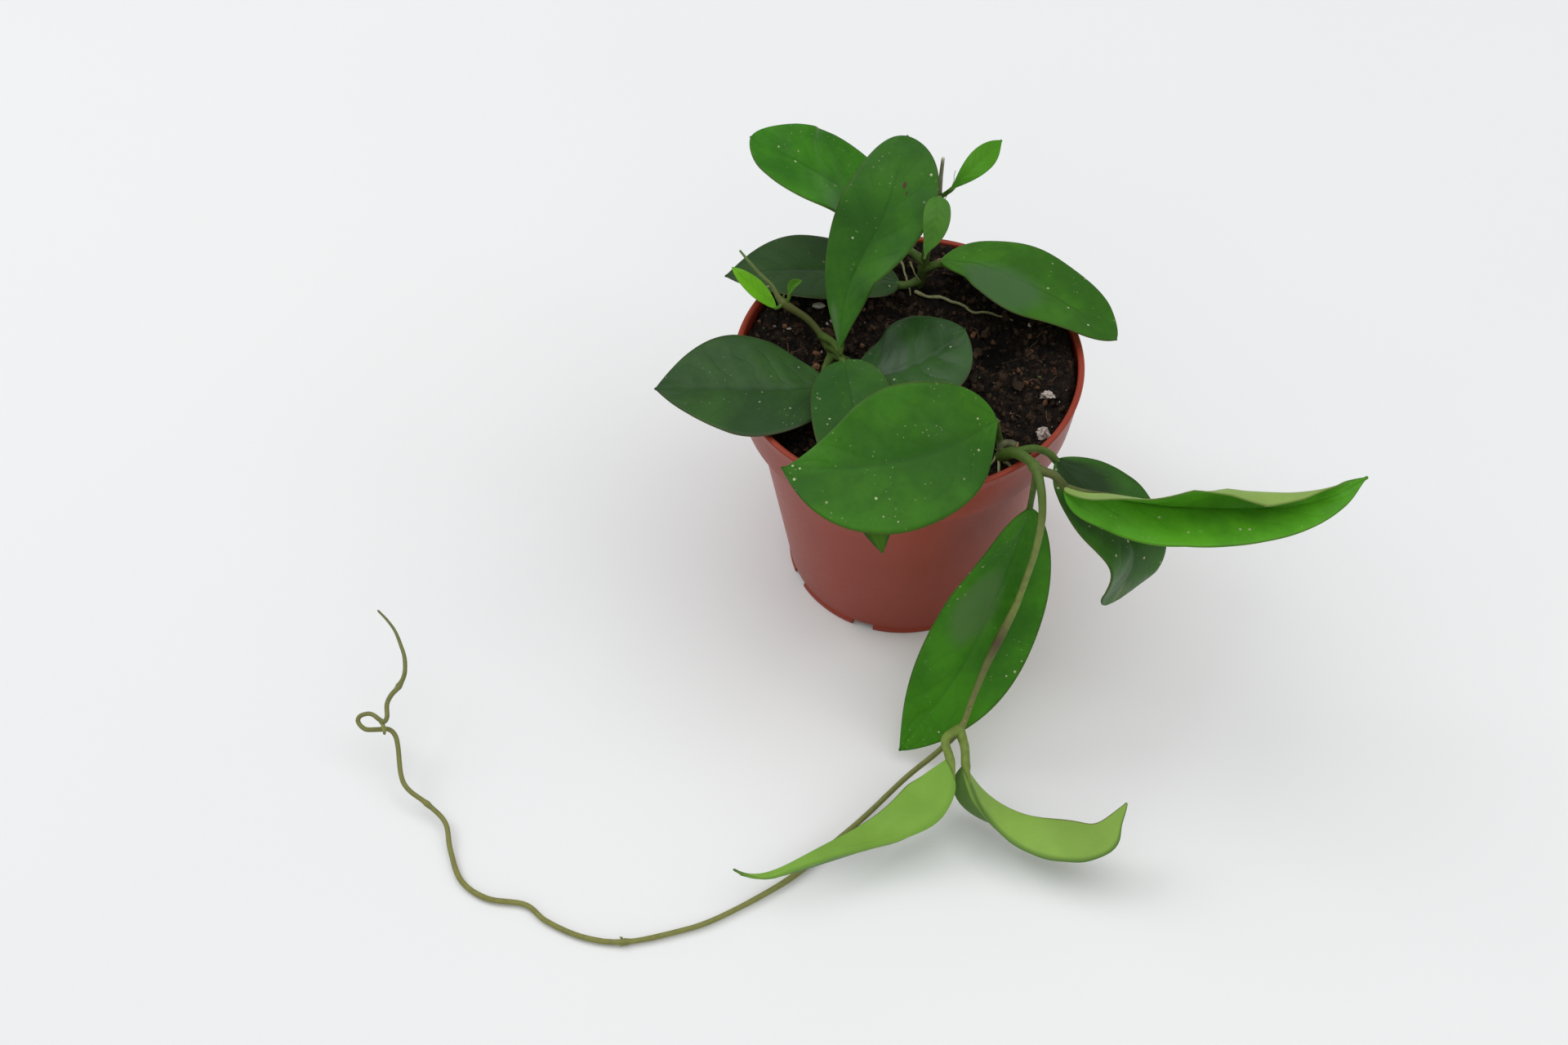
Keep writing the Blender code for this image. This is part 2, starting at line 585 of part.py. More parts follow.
# Loose grains on the soil: name, x, y, size across, flattening, colour
GRAINS = (
    ("perlite_right", 40.3, -15.1, 4.6, 0.5, GRAIN_WHITE),
    ("perlite_front", 37.5, -27.6, 3.9, 0.42, GRAIN_WHITE),
    ("seed_case", -25.8, 24.9, 4.2, 0.45, GRAIN_WHITE),
    ("pebble", -27.6, 1.9, 2.4, 0.7, (0.45, 0.33, 0.2)),
    ("bark_chip", 16.7, 36.9, 5.5, 0.5, (0.03, 0.02, 0.015)),
)


def soil_height(x, y):
    """Give the soil's height over its level at a place, in millimetres."""
    place = Vector((x, y, 0)) / CLOD_SIZE
    height = CLOD_HEIGHT * noise.fractal(place, 1.0, 2.1, 3)
    for grain in GRAINS:
        apart = math.hypot(x - grain[1], y - grain[2])
        height *= min(1.0, apart / (grain[3] * 1.1)) ** 2
    for cx, cy, spread, rise in (PIT, MOUND):
        height += rise * math.exp(-((x - cx) ** 2 + (y - cy) ** 2) / spread ** 2)
    for wx, wy, start, rise in SLOPES:
        share = (wx * x + wy * y) / inner_radius(SOIL_LEVEL)
        height += rise * max(0.0, share - start) / (1 - start)
    return height


def build_soil(mat):
    """Make the soil: a filling with a lumpy top and a plain hole for each stem."""
    verts = [mm(0, 0, SOIL_LEVEL + soil_height(0, 0))]
    edge = inner_radius(SOIL_LEVEL) - SOIL_GAP
    for ring in range(1, SOIL_RINGS + 1):
        radius = edge * ring / SOIL_RINGS
        for k in range(SOIL_SIDES):
            turn = 2 * math.pi * k / SOIL_SIDES
            x, y = radius * math.cos(turn), radius * math.sin(turn)
            verts.append(mm(x, y, SOIL_LEVEL + soil_height(x, y)))
    band = POT_HEIGHT - RIM_DROP
    step = band + WALL + GAP
    levels = ((step, inner_radius(band) - SOIL_GAP), (step, inner_radius(band - 1) - SOIL_GAP),
              (SOIL_FOOT, inner_radius(FLOOR) - SOIL_GAP))
    for z, radius in levels:
        for k in range(SOIL_SIDES):
            turn = 2 * math.pi * k / SOIL_SIDES
            verts.append(mm(radius * math.cos(turn), radius * math.sin(turn), z))
    faces = [(0, 1 + k, 1 + (k + 1) % SOIL_SIDES) for k in range(SOIL_SIDES)]
    for ring in range(SOIL_RINGS + len(levels) - 1):
        for k in range(SOIL_SIDES):
            a = 1 + ring * SOIL_SIDES + k
            b = 1 + ring * SOIL_SIDES + (k + 1) % SOIL_SIDES
            faces.append((a, a + SOIL_SIDES, b + SOIL_SIDES))
            faces.append((a, b + SOIL_SIDES, b))
    last = len(verts) - SOIL_SIDES
    faces.append(tuple(range(last, len(verts))))
    soil = add_object("soil", verts, faces, mat)
    holes = []
    for stem in STEMS.values():
        inside = [point for point in stem.path() if point.z < SOIL_LEVEL + HOLE_RISE]
        inside[0] = inside[0] - (inside[1] - inside[0]).normalized() * GAP
        radius = max(stem.radii[:4]) + 2 * GAP
        holes.append(tube("hole", inside, (radius, radius), mat, sides=HOLE_SIDES))
    combine(soil, holes, "DIFFERENCE")
    return soil


def ground(soil):
    """Give a function that reads the height of the soil's surface, in millimetres."""
    tree = BVHTree.FromObject(soil, bpy.context.evaluated_depsgraph_get())

    def height(x, y):
        hit = tree.ray_cast(mm(x, y, 2 * POT_HEIGHT), Vector((0, 0, -1)))[0]
        return hit.z / MM
    return height


def build_grain(height, name, x, y, size, flat, colour):
    """Make one crumb, lowered onto the soil until it nearly touches."""
    ball = bmesh.new()
    bmesh.ops.create_icosphere(ball, subdivisions=2, radius=size / 2)
    spots = []
    for vert in ball.verts:
        bump = 1 + GRAIN_BUMP * noise.noise(vert.co + Vector((x, y, 0)))
        spots.append(Vector((vert.co.x, vert.co.y, vert.co.z * flat)) * bump + Vector((x, y, 0)))
    lift = max(height(spot.x, spot.y) - spot.z for spot in spots) + 1.5 * GAP
    verts = [(spot + Vector((0, 0, lift))) * MM for spot in spots]
    faces = [[v.index for v in face.verts] for face in ball.faces]
    ball.free()
    return add_object(name, verts, faces, material(name, colour, 0.9))


def build_root(height, mat):
    """Make the thin root that lies on the soil."""
    points = []
    for spot in smooth_points([(x, y, 0) for x, y in ROOT_ROUTE], even_shares(ROOT_POINTS)):
        around = [height(spot.x + dx, spot.y + dy) for dx in (-1, 0, 1) for dy in (-1, 0, 1)]
        points.append((spot.x, spot.y, max(around) + ROOT_RADII[0] + GAP))
    return tube("root_on_soil", points, ROOT_RADII, mat)


def main():
    """Build every piece of the plant and its pot."""
    clear_scene()
    bark = material("green_bark", STEM_GREEN, 0.6)
    brown = material("brown_bark", BARK_BROWN, 0.7)
    leaf_green = material("leaf", LEAF_GREEN, 0.35)
    young_green = material("young_leaf", YOUNG_GREEN, 0.4)
    build_pot(material("pot_plastic", POT_RED, 0.45))
    height = ground(build_soil(material("soil", SOIL_BROWN, 0.95)))
    for grain in GRAINS:
        build_grain(height, *grain)
    build_root(height, material("root", ROOT_CREAM, 0.7))
    build_stem(STEMS["middle"], bark)
    build_stem(STEMS["back"], brown)
    build_stem(STEMS["front"], bark)
    for leaf in LEAVES:
        build_leaf(leaf, young_green if leaf.young else leaf_green)


main()
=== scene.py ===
"""The looks of a potted wax plant with a long runner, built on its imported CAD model.

The frame is that of the CAD model: the origin is the centre of the pot's base, +Z is up,
and the camera stands on the -Y side. Points and sizes are in millimetres, except that the
finishes, the floor and the lamps use metres, as Blender does. Each class makes one
sub-assembly, and each finish is a frozen dataclass that paints one material.
"""

import logging
import math
import random
from dataclasses import dataclass, field, replace
from enum import Enum
from typing import ClassVar, Sequence

import bmesh
import bpy
import numpy as np
from mathutils import Matrix, Vector, noise


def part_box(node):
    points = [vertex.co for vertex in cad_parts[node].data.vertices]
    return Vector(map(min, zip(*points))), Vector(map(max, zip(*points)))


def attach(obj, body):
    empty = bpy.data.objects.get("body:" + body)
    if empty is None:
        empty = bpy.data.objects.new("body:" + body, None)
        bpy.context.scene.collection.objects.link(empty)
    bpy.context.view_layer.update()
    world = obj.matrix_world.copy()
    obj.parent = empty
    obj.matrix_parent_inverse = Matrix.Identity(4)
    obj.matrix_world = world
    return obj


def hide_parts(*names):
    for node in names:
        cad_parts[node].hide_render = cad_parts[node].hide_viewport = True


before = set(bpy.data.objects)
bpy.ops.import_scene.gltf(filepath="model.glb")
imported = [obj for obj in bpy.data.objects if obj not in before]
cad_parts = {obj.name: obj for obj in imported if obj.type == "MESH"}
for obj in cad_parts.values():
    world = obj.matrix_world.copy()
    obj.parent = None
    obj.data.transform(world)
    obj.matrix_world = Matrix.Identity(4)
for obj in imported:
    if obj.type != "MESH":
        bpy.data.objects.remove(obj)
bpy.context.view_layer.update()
LOG = logging.getLogger("potted_plant")
MM = 0.001
Colour = tuple[float, float, float]
Point = tuple[float, float, float]

# Sockets of Blender's Mix node where it mixes colours
MIX_SHARE, MIX_FIRST, MIX_SECOND, MIX_RESULT = 0, 6, 7, 2
# Steps between two given points of a smooth path
PATH_STEPS = 16
# How far a tube's end reaches out and narrows, as a share of its radius
TUBE_END = 0.5
# Scales of the coarse bumps, the fine bumps and the broken faces of a crumb
COARSE_BUMPS, FINE_BUMPS, BROKEN_FACES = 1.4, 4.2, 0.9
# Angle in degrees over which an edge of the pot stays sharp
POT_SHARP = 35


class Signal:
    """A number, colour or vector inside a finish's node tree, for use in expressions."""

    def __init__(self, graph: "Graph", socket: bpy.types.NodeSocket) -> None:
        """Keep the tree and the output socket that the value comes from."""
        self.graph = graph
        self.socket = socket

    def out(self, name: str) -> "Signal":
        """Give another output of the same node."""
        return Signal(self.graph, self.socket.node.outputs[name])

    def _combine(self, operation: str, first: "Signal | float",
                 second: "Signal | float") -> "Signal":
        """Join two values with one arithmetic node that suits their kind.

        Args:
            operation: ADD, SUBTRACT, MULTIPLY or POWER.
            first: left-hand value.
            second: right-hand value.

        Returns:
            The joined value.
        """
        kinds = {v.socket.type for v in (first, second) if isinstance(v, Signal)}
        if "RGBA" in kinds:
            ends = [(v, v, v, 1.0) if isinstance(v, (int, float)) else v for v in (first, second)]
            return self.graph.node("ShaderNodeMix", {"data_type": "RGBA", "blend_type": operation},
                                   {MIX_SHARE: 1.0, MIX_FIRST: ends[0], MIX_SECOND: ends[1]},
                                   MIX_RESULT)
        if "VECTOR" in kinds:
            ends = [(v, v, v) if isinstance(v, (int, float)) else v for v in (first, second)]
            return self.graph.node("ShaderNodeVectorMath", {"operation": operation},
                                   {0: ends[0], 1: ends[1]})
        return self.graph.node("ShaderNodeMath", {"operation": operation}, {0: first, 1: second})

    def __add__(self, other: "Signal | float") -> "Signal":
        """Add."""
        return self._combine("ADD", self, other)

    def __radd__(self, other: float) -> "Signal":
        """Add to a plain number."""
        return self._combine("ADD", other, self)

    def __sub__(self, other: "Signal | float") -> "Signal":
        """Take away."""
        return self._combine("SUBTRACT", self, other)

    def __rsub__(self, other: float) -> "Signal":
        """Take this from a plain number."""
        return self._combine("SUBTRACT", other, self)

    def __mul__(self, other: "Signal | float") -> "Signal":
        """Multiply."""
        return self._combine("MULTIPLY", self, other)

    def __rmul__(self, other: float) -> "Signal":
        """Multiply a plain number."""
        return self._combine("MULTIPLY", other, self)

    def __pow__(self, other: float) -> "Signal":
        """Raise to a power."""
        return self._combine("POWER", self, other)

    def __abs__(self) -> "Signal":
        """Give the size without its sign."""
        return self.apply("ABSOLUTE")

    def apply(self, operation: str) -> "Signal":
        """Run one Math operation that takes a single number."""
        return self.graph.node("ShaderNodeMath", {"operation": operation}, {0: self})

    def ease(self, low: float, high: float) -> "Signal":
        """Rise smoothly from 0 to 1.

        Args:
            low: where it is 0.
            high: where it is 1; it may be less than low.

        Returns:
            The number from 0 to 1.
        """
        start, end, ends = (low, high, (0.0, 1.0)) if low < high else (high, low, (1.0, 0.0))
        return self.graph.node("ShaderNodeMapRange", {"interpolation_type": "SMOOTHSTEP"},
                               {"Value": self, "From Min": start, "From Max": end,
                                "To Min": ends[0], "To Max": ends[1]})

    def mix(self, low: "Signal | Colour", high: "Signal | Colour") -> "Signal":
        """Blend two colours by this number.

        Args:
            low: colour where this is 0.
            high: colour where this is 1.

        Returns:
            The blended colour.
        """
        ends = [v if isinstance(v, Signal) else (*v, 1.0) for v in (low, high)]
        return self.graph.node("ShaderNodeMix", {"data_type": "RGBA"},
                               {MIX_SHARE: self, MIX_FIRST: ends[0], MIX_SECOND: ends[1]},
                               MIX_RESULT)


class Graph:
    """The node tree of one material."""

    def __init__(self, name: str) -> None:
        """Make an empty material with a Principled shader.

        Args:
            name: the material's name.
        """
        self.material = bpy.data.materials.new(name)
        self.material.use_nodes = True
        self.tree = self.material.node_tree
        self.shader = self.tree.nodes["Principled BSDF"]

    def node(self, kind: str, settings: dict | None = None, inputs: dict | None = None,
             output: int | str = 0) -> Signal:
        """Add one node.

        Args:
            kind: Blender's type name of the node.
            settings: properties that are set first; "stops" is a ramp's list of stops.
            inputs: values or signals by socket name or number.
            output: which output to give back.

        Returns:
            The signal at that output.
        """
        made = self.tree.nodes.new(kind)
        for key, value in (settings or {}).items():
            if key == "stops":
                ramp = made.color_ramp.elements
                while len(ramp) < len(value):
                    ramp.new(1.0)
                for element, (place, colour) in zip(ramp, value):
                    element.position = place
                    element.color = (*colour, 1.0)
            else:
                setattr(made, key, value)
        for key, value in (inputs or {}).items():
            self.feed(made.inputs[key], value)
        return Signal(self, made.outputs[output])

    def feed(self, socket: bpy.types.NodeSocket, value: "Signal | float | tuple") -> None:
        """Link a signal to a socket, or set the socket's own value.

        Args:
            socket: the input.
            value: what it gets.
        """
        if isinstance(value, Signal):
            self.tree.links.new(value.socket, socket)
        else:
            socket.default_value = value

    def place(self) -> Signal:
        """Give the point on the surface, in metres."""
        return self.node("ShaderNodeTexCoord", output="Object")

    def marks(self) -> tuple[Signal, Signal, Signal]:
        """Read the three numbers that each vertex carries.

        Returns:
            The place along the piece, the place across it, and which side or kind it is.
        """
        read = self.node("ShaderNodeAttribute", {"attribute_name": "marks"}, output="Vector")
        split = self.node("ShaderNodeSeparateXYZ", inputs={0: read})
        return split, split.out("Y"), split.out("Z")

    def noise(self, scale: float, detail: float = 3.0, roughness: float = 0.55) -> Signal:
        """Give soft noise from about 0.3 to 0.7.

        Args:
            scale: how fine it is, per metre.
            detail: how many finer layers it has.
            roughness: how strong the finer layers are.

        Returns:
            The noise.
        """
        return self.node("ShaderNodeTexNoise", None,
                         {"Vector": self.place(), "Scale": scale, "Detail": detail,
                          "Roughness": roughness}, "Fac")

    def cells(self, scale: float) -> Signal:
        """Give the distance to the nearest of scattered points, from 0, in cell widths."""
        return self.node("ShaderNodeTexVoronoi", None,
                         {"Vector": self.place(), "Scale": scale}, "Distance")

    def bump(self, height: Signal, strength: float, distance: float) -> Signal:
        """Turn a height from 0 to 1 into a normal; distance is in metres."""
        return self.node("ShaderNodeBump", None,
                         {"Strength": strength, "Distance": distance, "Height": height})

    def finish(self, **inputs: "Signal | float | tuple") -> bpy.types.Material:
        """Set the Principled shader's sockets.

        Args:
            inputs: values or signals by socket name, with _ for each space.

        Returns:
            The finished material.
        """
        for key, value in inputs.items():
            self.feed(self.shader.inputs[key.replace("_", " ")], value)
        return self.material


def shaded(colour: Colour, share: float) -> Colour:
    """Give a colour with its brightness brought to a share of what it was."""
    return tuple(c * share for c in colour)


class Finish:
    """What every finish does: paint its material once and hand out the same one."""

    name: str
    made: ClassVar[dict[str, bpy.types.Material]] = {}

    def material(self) -> bpy.types.Material:
        """Give this finish's material, painted on first use.

        Returns:
            The material.
        """
        key = repr(self)
        if key not in Finish.made:
            Finish.made[key] = self.paint(Graph(self.name))
        return Finish.made[key]

    def paint(self, graph: Graph) -> bpy.types.Material:
        """Paint the material; each finish does so in its own way."""
        raise NotImplementedError


class Way(Enum):
    """Which way a band on a leaf's lower face is measured."""
    ALONG = "along"
    ACROSS = "across"


@dataclass(frozen=True)
class LeafFinish(Finish):
    """Thick waxy leaf: mottled green above, paler below, with a thin brown margin.

    A spot is its place along and across, its size as a share of the length, and its colour.
    A band of the lower face is the way it is measured, where it starts, where it is full,
    its strength and its colour. A keel is the colour of the midrib below, if it stands out.
    """
    name: str
    dark: Colour
    light: Colour
    under: Colour
    vein: Colour
    stalk: Colour = (0.075, 0.13, 0.024)
    margin: Colour = (0.06, 0.035, 0.015)
    speck: Colour = (0.42, 0.46, 0.27)
    speckled: float = 1.0
    roughness: float = 0.36
    gloss: float = 0.12
    vein_count: float = 7.0
    spots: tuple = ()
    keel: Colour | None = None
    bands: tuple = ()

    # Side veins: how far forwards they run, how crooked, wide and strong they are
    VEIN_SLANT = 1.8
    VEIN_WOBBLE = 1.1
    VEIN_WIDTH = 0.16
    VEIN_STRENGTH = 0.14
    RIB_STRENGTH = 0.4
    MARGIN_STRENGTH = 0.4
    # Spots: how a step across compares with one along, and how frayed the edge is
    SPOT_ASPECT = 0.35
    SPOT_FRAY = 0.02

    def veins(self, along: Signal, reach: Signal) -> Signal:
        """Find the side veins, which leave the midrib forwards.

        Args:
            along: share of the blade's length.
            reach: distance from the midrib, from 0 to 1.

        Returns:
            1 on a vein and 0 between two.
        """
        wobble = along.graph.noise(90, 2.0) - 0.5
        lane = along * self.vein_count - reach * self.VEIN_SLANT + wobble * self.VEIN_WOBBLE
        line = abs(lane.apply("FRACT") - 0.5).ease(self.VEIN_WIDTH, 0.0)
        return line * reach.ease(0.02, 0.2) * reach.ease(0.95, 0.6)

    def above(self, graph: Graph, along: Signal, across: Signal) -> Signal:
        """Give the colour of the upper face.

        Args:
            graph: the tree that is painted.
            along: share of the blade's length.
            across: place across, from -1 to 1.

        Returns:
            The colour.
        """
        reach = abs(across)
        # Mottled green with the side veins and the midrib
        upper = graph.noise(48, 4.0, 0.62).ease(0.34, 0.66).mix(self.dark, self.light)
        upper = (self.veins(along, reach) * self.VEIN_STRENGTH).mix(upper, self.vein)
        rib = reach.ease(0.07, 0.0) * along.ease(1.0, 0.7)
        upper = (rib * self.RIB_STRENGTH).mix(upper, self.vein)
        upper = (graph.noise(900, 3.0, 0.6).ease(0.35, 0.75) * 0.2).mix(upper, self.dark)
        # Pale flecks and finer dust, both in drifts
        dots = graph.cells(290).ease(0.15, 0.08) * graph.noise(55, 2.0).ease(0.5, 0.6)
        dust = graph.cells(620).ease(0.16, 0.08) * graph.noise(80, 2.0).ease(0.48, 0.6) * 0.5
        upper = ((dots + dust).ease(0.0, 1.0) * self.speckled).mix(upper, self.speck)
        for u, v, size, colour in self.spots:
            apart = ((along - u) ** 2 + ((across - v) * self.SPOT_ASPECT) ** 2).apply("SQRT")
            fray = (graph.noise(500, 3.0) - 0.5) * self.SPOT_FRAY
            blot = (apart + fray).ease(size, size * 0.5)
            upper = blot.mix(upper, colour)
        return upper

    def paint(self, graph: Graph) -> bpy.types.Material:
        """Paint the leaf from its vertices' marks.

        Args:
            graph: the tree that is painted; side is 1 above, 0 below, -1 on the petiole.

        Returns:
            The material.
        """
        along, across, side = graph.marks()
        reach = abs(across)
        # Lower face with its midrib and bands; a band across is painted shade on the half that
        # turns away from the light
        below = graph.noise(60, 3.0).ease(0.3, 0.7).mix(self.under, shaded(self.under, 0.86))
        keel, strength = (self.keel, 0.9) if self.keel else (shaded(self.under, 0.6), 0.45)
        below = (reach.ease(0.09, 0.0) * strength).mix(below, keel)
        for way, start, full, strength, tint in self.bands:
            place = across if way is Way.ACROSS else along
            below = (place.ease(start, full) * strength).mix(below, tint)
        # Both faces, then the margin and the petiole
        colour = side.ease(0.35, 0.65).mix(below, self.above(graph, along, across))
        colour = (reach.ease(0.975, 0.995) * self.MARGIN_STRENGTH).mix(colour, self.margin)
        stalk = graph.noise(380, 4.0, 0.6).ease(0.35, 0.7)
        colour = side.ease(-0.4, -0.6).mix(
            colour, stalk.mix(self.stalk, shaded(self.stalk, 0.75)))
        rough = self.roughness + (graph.noise(140, 3.0) - 0.5) * 0.16 + side.ease(1.0, 0.0) * 0.15
        relief = (graph.noise(240, 4.0, 0.6) * 0.7 + graph.noise(900, 3.0, 0.6) * 0.3
                  - self.veins(along, reach) * 0.3)
        return graph.finish(Base_Color=colour, Roughness=rough, Specular_IOR_Level=self.gloss,
                            Normal=graph.bump(relief, 0.3, 0.0005))


@dataclass(frozen=True)
class BarkFinish(Finish):
    """Smooth young bark whose colour changes along the stem, and old wood on its stubs."""
    name: str
    stops: tuple
    wood: Colour = (0.12, 0.12, 0.055)
    crack: Colour = (0.05, 0.042, 0.016)
    pore: Colour = (0.26, 0.24, 0.11)
    roughness: float = 0.55

    def paint(self, graph: Graph) -> bpy.types.Material:
        """Paint the stem from its marks.

        Args:
            graph: the tree that is painted; the first mark is the place along the stem, and
                the third is 1 on old wood.

        Returns:
            The material.
        """
        along, _, side = graph.marks()
        colour = graph.node("ShaderNodeValToRGB", {"stops": self.stops}, {0: along})
        # Fine streaks and pale pores, then the old wood
        streak = graph.noise(420, 4.0, 0.65)
        colour = (streak.ease(0.4, 0.8) * 0.35).mix(colour, self.crack)
        pores = graph.cells(900).ease(0.2, 0.08) * graph.noise(200, 2.0).ease(0.5, 0.65)
        colour = (pores * 0.3).mix(colour, self.pore)
        bark = streak.ease(0.35, 0.65).mix(self.wood, shaded(self.wood, 0.55))
        colour = side.ease(0.2, 0.8).mix(colour, bark)
        return graph.finish(Base_Color=colour, Roughness=self.roughness + (streak - 0.5) * 0.2,
                            Specular_IOR_Level=0.3,
                            Normal=graph.bump(streak + pores * 0.5, 0.4, 0.0004))


@dataclass(frozen=True)
class PlasticFinish(Finish):
    """Thin moulded plastic with a soft sheen, a little scuffed and dusty."""
    name: str
    colour: Colour
    # colour of the painted highlight on the lip
    lip: Colour
    dust: Colour = (0.3, 0.17, 0.13)
    roughness: float = 0.38

    def paint(self, graph: Graph) -> bpy.types.Material:
        """Paint the plastic: faint mottling, fine scuffs, and a painted highlight on the lip.

        Args:
            graph: the tree that is painted; the third mark is 1 on the lip.

        Returns:
            The material.
        """
        cloud = graph.noise(28, 4.0, 0.6).ease(0.3, 0.7)
        colour = cloud.mix(self.colour, tuple(c * 1.12 + 0.004 for c in self.colour))
        _, _, lip = graph.marks()
        # Painted highlight: the top of the lip is made paler and greyer, as where light glances off
        # it
        colour = (lip * 0.8).mix(colour, self.lip)
        grime = graph.noise(160, 4.0, 0.7).ease(0.55, 0.8)
        colour = (grime * 0.1).mix(colour, self.dust)
        rough = self.roughness + (graph.noise(700, 2.0, 0.7) - 0.5) * 0.14 + grime * 0.1
        return graph.finish(Base_Color=colour, Roughness=rough, Specular_IOR_Level=0.22,
                            Normal=graph.bump(graph.noise(1500, 2.0, 0.5), 0.1, 0.0002))


@dataclass(frozen=True)
class SoilFinish(Finish):
    """Dark, damp potting mix of fine crumbs, with painted shade in a pit: its place and size in
    metres.
    """
    name: str
    dark: Colour
    light: Colour
    red_bits: Colour = (0.1, 0.04, 0.02)
    moss: Colour = (0.06, 0.085, 0.02)
    pale_bits: Colour = (0.36, 0.3, 0.22)
    pit_shade: Colour = (0.0015, 0.0012, 0.001)
    pit: Point = (0.028, 0.008, 0.0085)

    def paint(self, graph: Graph) -> bpy.types.Material:
        """Paint the mix: dark crumbs, reddish bark bits and a few green and pale specks.

        Args:
            graph: the tree that is painted.

        Returns:
            The material.
        """
        crumbs = graph.cells(700)
        tone = graph.noise(230, 5.0, 0.75).ease(0.36, 0.68)
        colour = tone.mix(self.dark, self.light)
        colour = (crumbs.ease(0.15, 0.5) * 0.5).mix(colour, self.dark)
        # Reddish bits, moss and pale specks
        red = graph.noise(420, 3.0, 0.6).ease(0.58, 0.7)
        colour = (red * 0.6).mix(colour, self.red_bits)
        moss = graph.cells(620).ease(0.16, 0.06) * graph.noise(130, 2.0).ease(0.52, 0.64)
        colour = (moss * 0.7).mix(colour, self.moss)
        pale = graph.cells(760).ease(0.12, 0.06) * graph.noise(170, 2.0).ease(0.52, 0.6)
        colour = (pale * 0.8).mix(colour, self.pale_bits)
        # Painted shade in the pit
        place = graph.node("ShaderNodeSeparateXYZ", inputs={0: graph.place()})
        pit_x, pit_y, pit_size = self.pit
        apart = ((place - pit_x) ** 2 + (place.out("Y") - pit_y) ** 2).apply("SQRT")
        colour = (apart.ease(pit_size, pit_size * 0.3) * 0.85).mix(colour, self.pit_shade)
        height = 0.8 - crumbs * 0.8 + graph.noise(1300, 4.0, 0.7)
        return graph.finish(Base_Color=colour, Roughness=0.85 + (tone - 0.5) * 0.2,
                            Specular_IOR_Level=0.2, Normal=graph.bump(height, 1.0, 0.0014))


@dataclass(frozen=True)
class GrainFinish(Finish):
    """Rough mineral or plant crumbs, with darker pits, that differ from one to the next."""
    name: str
    colour: Colour
    dirt: Colour
    dirty: float = 0.5
    roughness: float = 0.85

    def paint(self, graph: Graph) -> bpy.types.Material:
        """Paint the crumb with dirt in its hollows.

        Args:
            graph: the tree that is painted; the first mark is how dirty a whole crumb is, or
                the place along a root.

        Returns:
            The material.
        """
        pits = graph.noise(1100, 4.0, 0.65)
        whole, _, _ = graph.marks()
        colour = (whole * 0.75).mix(self.colour, self.dirt)
        colour = (pits.ease(0.5, 0.66) * self.dirty).mix(colour, self.dirt)
        return graph.finish(Base_Color=colour, Roughness=self.roughness, Specular_IOR_Level=0.2,
                            Normal=graph.bump(pits, 0.8, 0.0006))


@dataclass(frozen=True)
class FloorFinish(Finish):
    """The plain pale floor, with hardly any variation."""
    name: str = "pale_floor"
    dark: Colour = (0.83, 0.845, 0.85)
    light: Colour = (0.855, 0.862, 0.862)

    def paint(self, graph: Graph) -> bpy.types.Material:
        """Paint a matt surface."""
        tone = graph.noise(3, 2.0).ease(0.3, 0.7)
        return graph.finish(Base_Color=tone.mix(self.dark, self.light), Roughness=0.9)


@dataclass
class Shape:
    """Vertices in millimetres with their marks, and faces, gathered into one mesh."""
    verts: list = field(default_factory=list)
    marks: list = field(default_factory=list)
    faces: list = field(default_factory=list)

    def add(self, verts: Sequence, faces: Sequence, marks: Sequence = (0, 0, 0)) -> None:
        """Add a closed body.

        Args:
            verts: its points.
            faces: its faces, numbered from 0.
            marks: one triple for all points, or one for each.
        """
        first = len(self.verts)
        self.verts += [tuple(v) for v in verts]
        alike = len(marks) == 3 and isinstance(marks[0], (int, float))
        self.marks += [tuple(marks)] * len(verts) if alike else [tuple(m) for m in marks]
        self.faces += [tuple(i + first for i in face) for face in faces]

    def mesh(self, name: str) -> bpy.types.Mesh:
        """Make a Blender mesh in metres, without the marks.

        Args:
            name: the mesh's name.

        Returns:
            The mesh.
        """
        mesh = bpy.data.meshes.new(name)
        mesh.from_pydata([tuple(c * MM for c in v) for v in self.verts], [], self.faces)
        return mesh

    def build(self, name: str, finish: Finish, slot: str, nodes: Sequence[str] = (),
              sharp: float = 60.0) -> bpy.types.Object:
        """Make the Blender object and hang it on the CAD body.

        Args:
            name: the piece's name.
            finish: its finish.
            slot: the record's material slot; not used.
            nodes: CAD nodes that it stands for.
            sharp: angle in degrees over which an edge stays sharp.

        Returns:
            The object.
        """
        mesh = self.mesh(name)
        marks = mesh.attributes.new("marks", "FLOAT_VECTOR", "POINT")
        marks.data.foreach_set("vector", np.array(self.marks, np.float32).ravel())
        mesh.materials.append(finish.material())
        mesh.shade_smooth()
        mesh.set_sharp_from_angle(angle=math.radians(sharp))
        obj = add_object(name, mesh)
        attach(obj, "root")
        if nodes:
            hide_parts(*nodes)
        LOG.info("%s: %d vertices", name, len(mesh.vertices))
        return obj


def add_object(name: str, data: bpy.types.ID) -> bpy.types.Object:
    """Put an object into the scene.

    Args:
        name: the object's name.
        data: its mesh, light or camera.

    Returns:
        The object.
    """
    obj = bpy.data.objects.new(name, data)
    bpy.context.scene.collection.objects.link(obj)
    return obj


